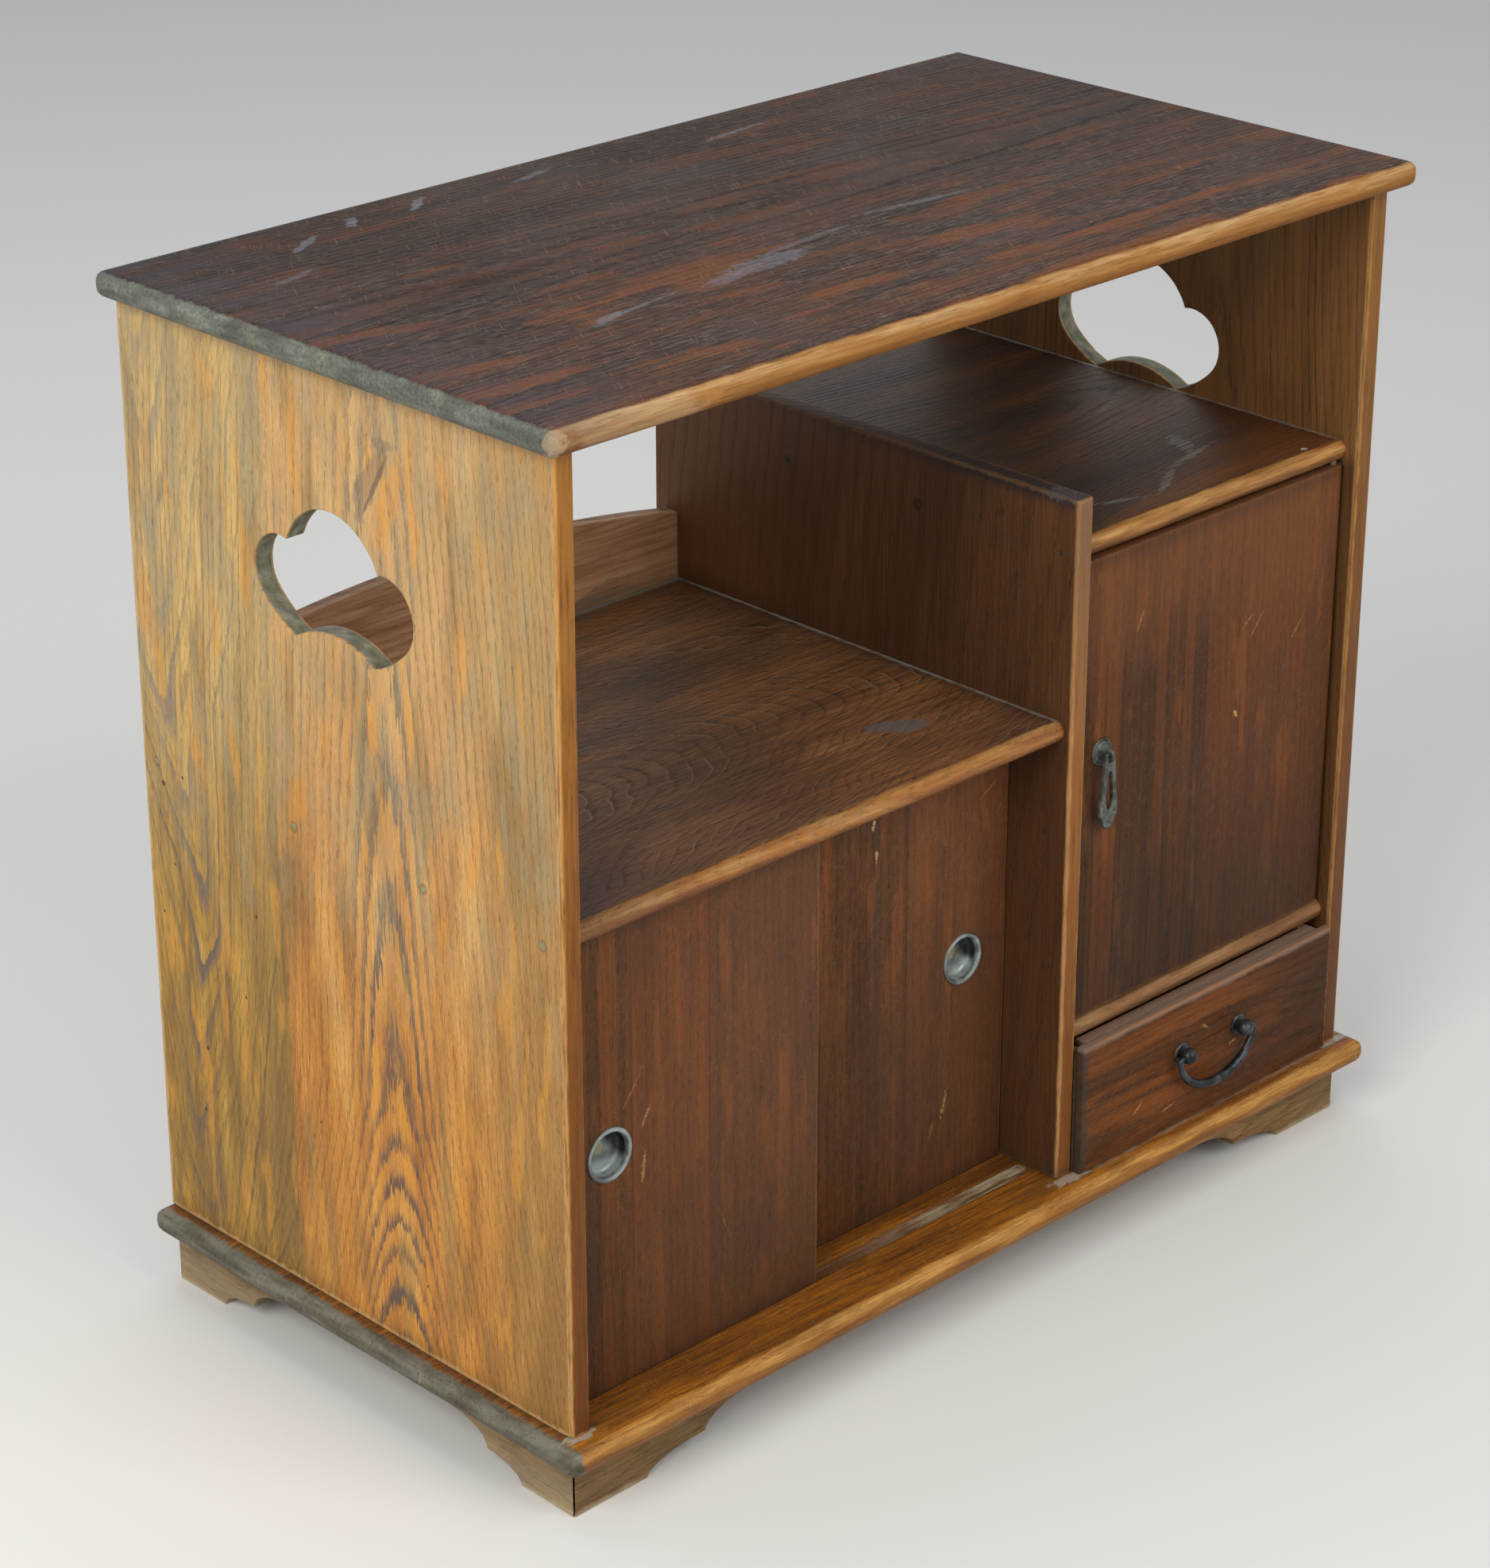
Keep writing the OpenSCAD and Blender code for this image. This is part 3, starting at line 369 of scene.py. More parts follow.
    def flecks(self, cell, radius, seed, amount, colour):
        """Covers small round specks, in about a third of the cells."""
        place = self.node("ShaderNodeMapping", Vector=self.board, Scale=(1 / cell, 1.4 / cell, 1.4 / cell),
                          Location=(seed * 2.7, seed * 5.1, seed * 1.9))
        cells = self.node("ShaderNodeTexVoronoi", Vector=place.outputs[0], Scale=1.0)
        near = Field(self.tree, cells.outputs["Distance"]).fade(radius / cell, radius * 0.5 / cell)
        pick = self.node("ShaderNodeSeparateColor", Color=cells.outputs["Color"])
        chosen = Field(self.tree, pick.outputs[0]).fade(0.62, 0.68)
        self.cover(near * chosen * amount, colour)

    def done(self, bump, gloss=0.22):
        """Wires the layers to the shader and returns the material."""
        relief = self.node("ShaderNodeBump", Distance=bump * MM, Height=self.height)
        for name, value in (("Base Color", self.colour), ("Roughness", self.rough),
                            ("Specular IOR Level", gloss), ("Normal", relief.outputs[0])):
            plug(self.tree, self.shader.inputs[name], value)
        return self.material


print("a finish is built in layers; each board below makes its own")

# %% [markdown]
# ## Grain
# A board is a flat cut through a cone of growth rings. The rings can be drawn with a wave
# texture, but its lines repeat evenly. Here the distance to the tree's heart is worked out at
# each point: across the board far from the heart it gives straight lines, and over the heart it
# gives the pointed arches of a flat-sawn board. Each ring starts with a dark line of pores that
# has one crisp side and one fading side, and each ring gets its own strength.

# %% Wood: rings, pores, fibres and blotches
def wood(name, axes, seed, tones, line_tone, face=0.0, crest=0.0, heart=20.0, spacing=3.5,
         taper=0.12, sway=7.0, jag=0.6, width=0.34, line=0.6, pore=0.4, pores=(5.5, 0.32, 0.8),
         fibre=0.25, mottle=1.1, blotch=(150, 26), rough=0.5):
    """Starts a finish with wood grain: tones are from the darkest to the lightest.
    The heart lies that far below the board's lower face. taper is how fast the rings climb
    along the board, as a number or as a function."""
    f = Finish(name, axes)
    bend = f.noise((150, 45, 60), seed) - 0.5
    ripple = f.noise((34, 12, 20), seed + 1) - 0.5
    teeth = f.noise((13, 1.0, 5), seed + 2, 1.0) - 0.5
    off = f.across - crest + bend * (2.4 * sway) + ripple * (0.5 * sway)
    depth = f.deep + (heart - face)
    cut = off.diagonal(depth)
    climb = taper(f.along) if callable(taper) else f.along * taper
    radius = cut + climb + teeth * (depth / cut) * (2 * jag)
    uneven = f.noise((1, 1, 1), seed + 3, 1.0, f.vector(radius / (2.3 * spacing), 0.5, 0.5)) - 0.5
    ring = radius / spacing + uneven * 1.1
    phase = ring.math("FRACT")
    strength = f.chance(ring.math("FLOOR") + seed) * 0.6 + 0.4
    edge = phase.band(0.0, 0.04, 0.08, width)
    patchy = f.patch((60, 18, 20), seed + 4, 0.32, 0.6, 2.0)
    dark = edge * strength * (patchy * 0.5 + 0.5)
    pits = f.noise(pores, seed + 5, 1.0).fade(0.57, 0.67)
    pits = pits * (phase.fade(0.65, 0.1) * 0.7 + 0.3)
    strands = f.noise((38, 0.6, 1.6), seed + 6, 2.0)
    grit = f.noise((2.2, 0.5, 0.7), seed + 8, 2.0)
    cloud = f.noise((blotch[0], blotch[1], blotch[1]), seed + 7, 3.0)
    body = cloud * mottle + strands * 0.5 + grit * 0.45 + (0.025 - mottle / 2)
    f.colour = f.even_ramp(body, tones, 0.22, 0.56)
    f.cover(strands.fade(0.58, 0.42) * fibre, line_tone)
    f.cover(dark * line, line_tone)
    f.cover(pits * pore, [c * 0.55 for c in line_tone])
    f.dark, f.pits, f.strands, f.cloud, f.phase = dark, pits, strands, cloud, phase
    f.crown = phase.band(0.0, 0.05, 0.16, 0.56) * strength * (depth / cut).fade(0.6, 0.97)
    f.height = strands * 0.35 - dark * 0.45 - pits * 0.8
    f.rough = dark * 0.12 + strands * 0.1 + (rough - 0.05)
    return f


print("wood() starts a board's finish; cover() lays wear, dirt and stains over it")

# %% [markdown]
# ## Mesh helpers for boards
# A cube with a Bevel modifier gives even arrises, and old boards have none. These helpers build
# each board from sections or outlines instead, so that the radius of an arris can change along
# its length. `rub` is the uneven wear: it only ever takes wood away, so a board never leaves its
# CAD node's box. A guard row of points just inside each rounded arris keeps the flats flat when
# the mesh is shaded smooth.

# %% From points to a piece
SMOOTH_BELOW = math.radians(38)


def skin(name, points, faces):
    """A closed mesh object from points in carcass millimetres, its faces turned outwards."""
    mesh = bpy.data.meshes.new(name)
    mesh.from_pydata([metres(*p) for p in points], [], faces)
    shell = bmesh.new()
    shell.from_mesh(mesh)
    bmesh.ops.remove_doubles(shell, verts=shell.verts, dist=0.002 * MM)
    bmesh.ops.recalc_face_normals(shell, faces=shell.faces)
    shell.to_mesh(mesh)
    shell.free()
    mesh.shade_smooth()
    mesh.set_sharp_from_angle(angle=SMOOTH_BELOW)
    piece = bpy.data.objects.new(name, mesh)
    bpy.context.scene.collection.objects.link(piece)
    return piece


def dress(piece, material, body, node):
    """Gives a piece its finish, and lets it stand for its CAD node on the node's body."""
    piece.data.materials.clear()
    piece.data.materials.append(material)
    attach(piece, body)
    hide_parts(node)
    print(piece.name, "has", len(piece.data.polygons), "faces and rides on", body)


def rub(place, seed, period=22.0):
    """Wear from 0 to 1 at a place along an arris, with a few deeper knocks."""
    soft = 0.5 + 0.5 * noise.noise((place / period, seed * 3.1, 0.3))
    knock = noise.noise((place / (period * 0.3), seed * 5.7, 4.1))
    return min(1.0, 0.55 * soft + max(0.0, knock - 0.35) * 1.6)


# %% Boards from sections
ARC_STEPS = 5
GUARD = 1.3


def stations(low, high, step, end):
    """Places along a board, each with its inset, so that both ends are rounded by end."""
    turn = [math.radians(90 * k / 3) for k in range(4)]
    first = [(low + end * (1 - math.cos(a)), end * (1 - math.sin(a))) for a in turn]
    first.append((low + end + 1.0, 0.0))
    count = max(2, round((high - low - 2 * end) / step))
    inner = [(low + end + (high - low - 2 * end) * k / count, 0.0) for k in range(1, count)]
    return first + inner + [(low + high - p, inset) for p, inset in reversed(first)]


def section(a0, a1, b0, b1, radii, inset=0.0):
    """A rectangle with four rounded corners, each with a guard point on both sides."""
    corners = [(a0, b0, 180), (a1, b0, 270), (a1, b1, 0), (a0, b1, 90)]
    ring = []
    for k, ((a, b, start), r) in enumerate(zip(corners, radii)):
        r = max(r, inset + 0.05)
        ca = a + (r if a == a0 else -r)
        cb = b + (r if b == b0 else -r)
        spare = [(a1 - a0) - r - max(radii[k ^ 1], inset), (b1 - b0) - r - max(radii[3 - k], inset)]
        guards = [min(GUARD, max(0.0, s / 3)) for s in spare]
        arc = []
        for step in range(ARC_STEPS + 1):
            t = math.radians(start + 90 * step / ARC_STEPS)
            arc.append((ca + (r - inset) * math.cos(t), cb + (r - inset) * math.sin(t)))
        in_a = guards[0] * (1 if a == a0 else -1)
        in_b = guards[1] * (1 if b == b0 else -1)
        first, last = (0.0, in_b), (in_a, 0.0)
        if k % 2:
            first, last = last, first
        ring.append((arc[0][0] + first[0], arc[0][1] + first[1]))
        ring += arc + [(arc[-1][0] + last[0], arc[-1][1] + last[1])]
    return ring


def loft(name, rings):
    """Skins a row of sections and closes both ends."""
    n = len(rings[0])
    points = [p for ring in rings for p in ring]
    faces = []
    for i in range(len(rings) - 1):
        for k in range(n):
            j = (k + 1) % n
            faces.append((i * n + k, i * n + j, i * n + n + j, i * n + n + k))
    faces.append(tuple(range(n)))
    faces.append(tuple(range((len(rings) - 1) * n, len(rings) * n)))
    return skin(name, points, faces)


def upright_board(node, radii, wear, seed, end):
    """A worn upright board in a node's box. radii and wear are for its four long arrises."""
    low, high = span(node)
    rings = []
    for z, inset in stations(low.z, high.z, 6.0, end):
        worn = [r + w * rub(z, seed + 1.7 * k) for k, (r, w) in enumerate(zip(radii, wear))]
        rings.append([(x, y, z) for x, y in section(low.x, high.x, low.y, high.y, worn, inset)])
    return loft(node + "_worn", rings)


# %% Boards from outlines
def inward(loop):
    """For each point of an outline, the way into the wood that keeps its sides parallel."""
    ways = []
    for i, point in enumerate(loop):
        before, after = loop[i - 1], loop[(i + 1) % len(loop)]
        sides = []
        for p, q in ((before, point), (point, after)):
            du, dv = q[0] - p[0], q[1] - p[1]
            size = math.hypot(du, dv)
            sides.append((-dv / size, du / size))
        mid_u, mid_v = sides[0][0] + sides[1][0], sides[0][1] + sides[1][1]
        share = max(0.35, 1 + sides[0][0] * sides[1][0] + sides[0][1] * sides[1][1])
        ways.append((mid_u / share, mid_v / share))
    return ways


def cut_board(name, loops, thick, place, blind=0.0, steps=4, guard=1.2):
    """Extrudes an outline with holes through a board whose rims are rounded by each point's r.
    The outline runs anticlockwise and holes clockwise. A hole with blind > 0 stops at that depth."""
    turn = [math.radians(90 * k / steps) for k in range(steps + 1)]
    points, faces, front, back = [], [], [], []
    for number, loop in enumerate(loops):
        ways = inward(loop)
        stop = blind and number > 0
        profile = [(guard, 0.0, 1.0)]
        profile += [(0.0, 1 - math.cos(a), 1 - math.sin(a)) for a in turn]
        if stop:
            profile.append((0.0, None, 0.0))
        else:
            profile += [(0.0, -(1 - math.cos(a)), 1 - math.sin(a)) for a in reversed(turn)]
            profile.append((guard, 0.0, 1.0))
        rings = []
        for k, (extra, rise, inset) in enumerate(profile):
            ring = []
            for (u, v, r), (wu, wv) in zip(loop, ways):
                way_in = inset * r + extra
                if rise is None:
                    w = blind
                else:
                    w = rise * r if k <= steps + 1 else thick + rise * r
                ring.append(len(points))
                points.append(place(u + wu * way_in, v + wv * way_in, w))
            rings.append(ring)
        n = len(loop)
        for a, b in zip(rings, rings[1:]):
            for k in range(n):
                faces.append((a[k], a[(k + 1) % n], b[(k + 1) % n], b[k]))
        flat = [Vector((u + wu * (r + guard), v + wv * (r + guard), 0))
                for (u, v, r), (wu, wv) in zip(loop, ways)]
        front.append((rings[0], flat))
        if stop:
            faces.append(tuple(rings[-1]))
        else:
            back.append((rings[-1], flat))
    for side in (front, back):
        index = [i for ring, flat in side for i in ring]
        for triangle in geometry.tessellate_polygon([flat for ring, flat in side]):
            faces.append(tuple(index[i] for i in triangle))
    return skin(name, points, faces)


def walk(corners, step, radius):
    """Points along straight sides, with radius(u, v) for each."""
    loop = []
    for (u0, v0), (u1, v1) in zip(corners, corners[1:] + corners[:1]):
        count = max(1, round(math.hypot(u1 - u0, v1 - v0) / step))
        for k in range(count):
            u, v = u0 + (u1 - u0) * k / count, v0 + (v1 - v0) * k / count
            loop.append((u, v, radius(u, v)))
    return loop


# %% Turned and bent metal
def turned(name, profile, centre, sides):
    """Spins pairs of radius and y about an axis that runs from front to back."""
    points, faces = [], []
    for r, y in profile:
        for k in range(sides):
            t = math.tau * k / sides
            points.append((centre[0] + r * math.cos(t), centre[1] + y, centre[2] + r * math.sin(t)))
    for i in range(len(profile)):
        j = (i + 1) % len(profile)
        if profile[i][0] < 0.01 and profile[j][0] < 0.01:
            continue
        for k in range(sides):
            m = (k + 1) % sides
            faces.append((i * sides + k, i * sides + m, j * sides + m, j * sides + k))
    return skin(name, points, faces)


def bent(name, path, centre, sides):
    """A round bar along (x, z, radius) points."""
    rings = []
    for i, (x, z, r) in enumerate(path):
        x0, z0 = path[max(0, i - 1)][:2]
        x1, z1 = path[min(len(path) - 1, i + 1)][:2]
        size = math.hypot(x1 - x0, z1 - z0)
        nx, nz = -(z1 - z0) / size, (x1 - x0) / size
        ring = []
        for k in range(sides):
            t = math.tau * k / sides
            out, ahead = r * math.cos(t), r * math.sin(t)
            ring.append((centre[0] + x + nx * out, centre[1] + ahead, centre[2] + z + nz * out))
        rings.append(ring)
    return loft(name, rings)


print("helpers: loft, upright_board, cut_board, walk, turned, bent")

# %% [markdown]
# ## Top board
# The top is a 12 mm board whose four edges are half round and meet in mitres. It could be a cube
# with bevelled edges, but its nose is rubbed unevenly and its corners are blunt. So its upper and
# lower skins are height fields on one grid, close together at the edges: the lower of two half
# circles gives the height, and the mitres come by themselves. The same helper makes the base
# board, with its two tracks as strips of the grid that lie deeper.

# %% Boards with half-round edges
def edge_line(low, high, round_by, step, extra=()):
    """Grid places across a board, each with the height of its half-round edge and its lean."""
    turn = [math.radians(15 * k) for k in range(7)]
    near = [(round_by * (1 - math.cos(a)), math.sin(a), math.cos(a)) for a in turn]
    near.append((round_by + 1.3, 1.0, 0.0))
    line = [(low + d, rise, lean) for d, rise, lean in near]
    count = round((high - low - 2 * round_by) / step)
    gap = (high - low - 2 * round_by) / count
    inner = [low + round_by + gap * k for k in range(1, count)]
    inner = [p for p in inner if all(abs(p - e) > 1.0 for e in extra)]
    line += [(p, 1.0, 0.0) for p in sorted(inner + list(extra))]
    line += [(high - d, rise, -lean) for d, rise, lean in reversed(near)]
    return line


def half_round_board(node, wear, seed, tracks=(), track_x=(0, 0)):
    """A board with mitred half-round edges, worn inwards by up to wear mm."""
    low, high = span(node)
    half = (high.z - low.z) / 2
    middle = (high.z + low.z) / 2
    walls = []
    for y0, y1, depth in tracks:
        for y, s in ((y0, 1), (y1, -1)):
            walls += [(y - 0.5 * s, 0.0), (y - 0.14 * s, 0.12), (y, 0.45)]
            walls += [(y + 0.002 * s, depth - 0.3), (y + 0.3 * s, depth)]
        walls.append(((y0 + y1) / 2, depth))
    sunk = {round(y, 4): depth for y, depth in walls}
    ends = [x + d for x in track_x for d in (-0.01, 0.01)] if tracks else []
    along = edge_line(low.x, high.x, half, 7.0, ends)
    across = edge_line(low.y, high.y, half, 7.0, [y for y, depth in walls])
    points, faces = [], []
    for side in (1, -1):
        for x, rise_x, lean_x in along:
            for y, rise_y, lean_y in across:
                corner = 1.6 * abs(lean_x * lean_y)
                in_x = lean_x * (wear * rub(y, seed + (lean_x > 0)) + corner)
                in_y = lean_y * (wear * rub(x, seed + 2 + (lean_y > 0)) + corner)
                z = side * half * min(rise_x, rise_y)
                if side > 0 and track_x[0] < x < track_x[1]:
                    z -= sunk.get(round(y, 4), 0.0)
                points.append((x + in_x, y + in_y, middle + z))
    n, m = len(along), len(across)
    for side in (0, n * m):
        for i in range(n - 1):
            for k in range(m - 1):
                a = side + i * m + k
                faces.append((a, a + 1, a + m + 1, a + m))
    return skin(node + "_worn", points, faces)


top = half_round_board("top_board", 0.55, 2.0)
print("top board grid:", len(top.data.vertices), "points")

# %% Finish of the top board
top_left, top_front = span("top_board")[0].xy
f = wood("top_wood", "xyz", 3, [(40, 29, 23), (56, 36, 25), (73, 45, 28), (94, 58, 33)],
         (30, 21, 17), BODY_H, crest=150, heart=26, spacing=3.3, taper=0.016, sway=4, jag=0.7,
         width=0.5, pore=0.9, pores=(11, 0.7, 1.2), fibre=0.45, mottle=1.5,
         blotch=(120, 16), rough=0.52)
pale_pores = f.patch((9, 0.6, 1.2), 31, 0.58, 0.66, 1.0) * f.cloud.fade(0.66, 0.42)
f.cover(pale_pores * 0.6, (128, 114, 104))
streaks = f.noise((190, 13, 30), 33, 3.0)
f.cover(streaks.fade(0.5, 0.64) * 0.35, (104, 58, 32))
f.cover(streaks.fade(0.47, 0.34) * 0.35, (48, 38, 38))
f.stain((70, 15, 30), 35, 0.53, 0.64, 0.5, (122, 66, 24))
f.cover(f.drift(f.y + f.x * 0.2, 120).fade(60, 260) * f.y.fade(272, 266) * 0.62, (34, 26, 23))
for centre, size, turn, amount in (
        ((196, 86), (27, 8), 4, 0.6), ((168, 81), (15, 5), 8, 0.5), ((232, 97), (34, 2.2), 5, 0.45),
        ((98, 76), (12, 3.4), 20, 0.65), ((118, 79), (26, 1.3), 8, 0.6), ((304, 103), (40, 2.2), -6, 0.5),
        ((148, 252), (12, 2.6), 40, 0.85), ((110, 250), (9, 3.0), 50, 0.8), ((76, 239), (14, 2.4), 30, 0.7),
        ((216, 251), (15, 2.4), 12, 0.7), ((330, 240), (22, 2.0), 6, 0.6), ((42, 205), (16, 2.4), 15, 0.5)):
    ragged = f.patch((5, 0.7, 2), centre[0], 0.36, 0.56, 2.0) * 0.6 + 0.4
    f.cover(f.spot(centre, size, turn, 0.9, centre[0], 4) * ragged * amount, (108, 109, 118))
f.stain((90, 50, 40), 41, 0.5, 0.68, 0.3, (70, 62, 60))
f.scratches(58, 16, 0.26, 43, 0.25, 0.6, (168, 120, 92))
f.scratches(-35, 11, 0.24, 47, 0.24, 0.5, (160, 128, 104))
f.scratches(82, 9, 0.3, 49, 0.22, 0.5, (156, 116, 92))
f.flecks(34, 0.9, 3, 0.7, (176, 160, 146))
rag = f.noise((22, 3, 3), 51, 4.0) - 0.5
front_nose = (f.y + rag * 3.6).fade(top_front + 4.4, top_front + 2.8)
# The nose's tone varies at random and is painted paler towards its top: a painted highlight over the worn
# wood.
nose_wear_and_highlight = f.noise((40, 5, 3), 53, 3.0) * 0.8 + f.z.fade(BODY_H + 1, BODY_H + 11) * 0.45 - 0.1
f.shade(front_nose, nose_wear_and_highlight, [(0.1, (116, 74, 34)), (0.4, (142, 94, 46)), (0.65, (160, 114, 64)),
                          (0.9, (184, 148, 102))])
f.cover(front_nose * f.spot((34, top_front), (34, 9), 0, 0.5, 5, 12) * 0.4, (196, 168, 130))
f.cover(front_nose * f.strands.fade(0.57, 0.43) * 0.3, (112, 74, 38))
# A pale line along the nose's upper arris: partly wear, partly a painted highlight.
lip_wear_and_highlight = f.patch((14, 2, 2), 57, 0.42, 0.6) * (f.y.fade(top_front + 4.4, top_front + 2.4))
f.cover(lip_wear_and_highlight * f.z.fade(BODY_H + 8.5, BODY_H + 10) * 0.3, (204, 170, 126))
low_end = (f.x + rag * 3.4).fade(top_left + 4.2, top_left + 2.4)
f.shade(low_end, f.noise((6, 20, 4), 59, 3.0),
        [(0.3, (94, 96, 82)), (0.5, (116, 120, 106)), (0.72, (138, 142, 128))])
f.cover(low_end * f.patch((1.2, 1.2, 1.2), 60, 0.58, 0.42, 2.0) * 0.35, (70, 68, 56))
f.cover(f.spot((top_left, top_front), (9, 6), 0, 0.9, 6, 4) * 0.55, (206, 176, 138))
f.rough = f.rough + pale_pores * 0.1 + front_nose * 0.05
# Painted reflection: a blue-grey sheen laid over the left end of the top.
f.cover(f.x.fade(top_left + 80, top_left + 4) * f.cloud.fade(0.3, 0.6) * 0.42, (60, 60, 70))
top_wood = f.done(0.34, 0.08)
dress(top, top_wood, "carcass", "top_board")

# %% [markdown]
# ## Base board
# The base is made like the top. Its two tracks for the sliding doors are cut only as far as the
# left bay reaches. Its wood is lighter and more orange, its nose is rubbed pale and painted paler
# towards its top as a highlight, and dust lies along the joints and in the tracks.

# %% Base board and its finish
LEFT_BAY = (span("left_shelf")[0].x, span("left_shelf")[1].x)
TRACK_Y = [(17.5, 26.5), (37.5, 46.5)]
base = half_round_board("base_board", 0.6, 9.0, [(y0, y1, 3.0) for y0, y1 in TRACK_Y], LEFT_BAY)
base_low = span("base_board")[0]

f = wood("base_wood", "xyz", 5, [(88, 48, 14), (122, 71, 18), (148, 89, 22), (170, 110, 32)],
         (78, 50, 26), base_low.z, crest=-30, heart=26, spacing=3.8, taper=0.06, sway=8, pore=0.5,
         fibre=0.3, blotch=(90, 14), rough=0.45)
rag = f.noise((14, 3, 3), 61, 3.0) - 0.5
nose = (f.y + rag * 4.0).fade(base_low.y + 5.5, base_low.y + 3.0)
# The nose's tone varies at random and is painted paler towards its top: a painted highlight over the rubbed
# wood.
f.shade(nose * 0.85, f.noise((36, 5, 3), 63, 3.0) + f.z.fade(-8, -1) * 0.3 - 0.12,
        [(0.2, (108, 65, 24)), (0.5, (150, 98, 38)), (0.8, (194, 146, 74))])
f.cover(nose * f.strands.fade(0.57, 0.43) * 0.3, (104, 64, 26))
f.cover(f.patch((34, 9, 9), 64, 0.52, 0.68) * f.z.fade(-3, -1) * 0.45, (84, 52, 28))
left_end = (f.x + rag * 5.0).fade(base_low.x + 7.5, base_low.x + 4.5)
f.shade(left_end, f.noise((8, 26, 4), 65, 3.0) + f.z.fade(-10, -2) * 0.12,
        [(0.3, (64, 58, 46)), (0.55, (88, 84, 70)), (0.75, (112, 110, 98))])
f.cover(f.y.fade(48, 56) * f.x.fade(8, 12) * 0.7, (96, 68, 44))
ground = f.noise((30, 4, 4), 67, 3.0)
pit = f.z.fade(-0.6, -1.8) * f.x.band(9, 11, 300, 303) * f.y.band(14, 16, 48, 50)
f.cover(pit * 0.8, (96, 66, 42))
f.cover(pit * f.x.fade(175, 292) * ground.fade(0.36, 0.6) * 0.8, (182, 170, 146))
by_panel = f.x.band(-4.5, -0.4, 0.0, 1.5) * f.y.fade(-4, 0)
f.cover(by_panel * ground.fade(0.3, 0.55) * 0.7, (60, 52, 42))
before_drawer = f.y.band(-6, -1.2, 1, 6) * f.x.fade(300, 306)
f.cover(before_drawer * ground.fade(0.56, 0.36) * 0.4, (74, 50, 34))
dusty = f.patch((9, 2.5, 3), 68, 0.3, 0.6)
f.cover(f.y.fade(-5, -2.4) * f.x.fade(300, 318) * f.z.fade(-2, -0.6) * dusty * 0.6, (142, 120, 104))
f.scratches(64, 14, 0.25, 69, 0.23, 0.4, (206, 164, 116))
for x, reach in ((3, 9), (306.5, 13), (498, 10)):
    f.cover(f.spot((x, 0), (reach, 3.4), 0, 1.0, x, 5) * f.z.fade(-2, -0.5) * 0.65, (164, 160, 150))
base_wood = f.done(0.34)
dress(base, base_wood, "carcass", "base_board")
print("tracks run from x", round(LEFT_BAY[0], 1), "to", round(LEFT_BAY[1], 1), "mm")

# %% [markdown]
# ## Side panels
# Each side is one upright panel with a three-lobed cut-out. A boolean would leave a sharp rim, so
# the cut-out is part of the outline that is extruded: its rim is rounded by hand wear, a little
# differently at each point. The outline repeats the construction of the CAD: an upper lobe, two
# side lobes, two long tails and a shallow arch between two points.

# %% Outline of the cut-out
CUT_Y, CUT_Z = 135.0, 338.0


def arc(centre, radius, start, end, count=14):
    """Points along an arc, in degrees."""
    turn = [math.radians(start + (end - start) * k / count) for k in range(count + 1)]
    return [(centre[0] + radius * math.cos(t), centre[1] + radius * math.sin(t)) for t in turn]


def crossing(radius, other, between):
    """Angle at one circle's centre between the other centre and a crossing point."""
    share = (radius ** 2 + between ** 2 - other ** 2) / (2 * radius * between)
    return math.degrees(math.acos(share))


def cutout_outline():
    """The whole cut-out, clockwise from the middle of its top, around its reference point."""
    upper, lobe, tail_r, foot_drop, arch_rise = 31.0, 17.0, 52.0, 28.0, 7.0
    top_c, side_c = (0.0, 1.0), (33.0, -3.5)
    apart = math.hypot(side_c[0], side_c[1] - top_c[1])
    lean = math.degrees(math.atan2(side_c[1] - top_c[1], side_c[0]))
    notch_top = lean + crossing(upper, lobe, apart)
    notch_side = 180 + lean - crossing(lobe, upper, apart)
    leave = math.radians(-45)
    tail_c = (side_c[0] + (lobe - tail_r) * math.cos(leave), side_c[1] + (lobe - tail_r) * math.sin(leave))
    reach = math.degrees(math.asin((-foot_drop - tail_c[1]) / tail_r))
    foot_x = tail_c[0] + tail_r * math.cos(math.radians(reach))
    arch_r = (foot_x ** 2 + arch_rise ** 2) / (2 * arch_rise)
    arch_c = (0.0, arch_rise - foot_drop - arch_r)
    start = math.degrees(math.atan2(-foot_drop - arch_c[1], foot_x))
    half = arc(top_c, upper, 90, notch_top) + arc(side_c, lobe, notch_side, -45)[1:]
    half += arc(tail_c, tail_r, -45, reach, 8)[1:] + arc(arch_c, arch_r, start, 90, 8)[1:]
    other = [(-u, v) for u, v in reversed(half[1:-1])]
    return half + other


lobes = cutout_outline()
print("cut-out:", len(lobes), "points,", round(max(u for u, v in lobes) * 2, 1), "mm wide")

# %% Side panels
FRONT_ROUND = 2.0


def side_panel(node, seed):
    """A worn panel with its cut-out; its outline is drawn in y and z."""
    low, high = span(node)

    def rim(u, v):
        if u < 0.01:
            return FRONT_ROUND * (0.72 + 0.3 * rub(v, seed))
        return 0.5 + 0.6 * rub(v, seed + 4) if u > high.y - 0.01 else 0.3

    border = walk([(0, 0), (high.y, 0), (high.y, high.z), (0, high.z)], 6.0, rim)
    hole = [(CUT_Y + u, CUT_Z + v, 0.5 + 0.9 * rub(u * 2 + v, seed + 7, 9)) for u, v in lobes]
    return cut_board(node + "_worn", [border, hole], high.x - low.x, lambda u, v, w: (low.x + w, u, v))


left_panel = side_panel("left_side_panel", 11.0)
right_panel = side_panel("right_side_panel", 17.0)
print("side panels:", len(left_panel.data.polygons), "and", len(right_panel.data.polygons), "faces")

# %% [markdown]
# ## Finish of the side panels
# Each side is two boards glued edge to edge, and each has its own figure: arches low down on the
# front board, long curved V shapes on the rear one. So the panel's finish mixes two wood grains
# at the joint. The outer face is pale yellow at the top and more orange low down, with soft olive
# stains. The wall of the cut-out is grey-green where hands darkened its end grain.

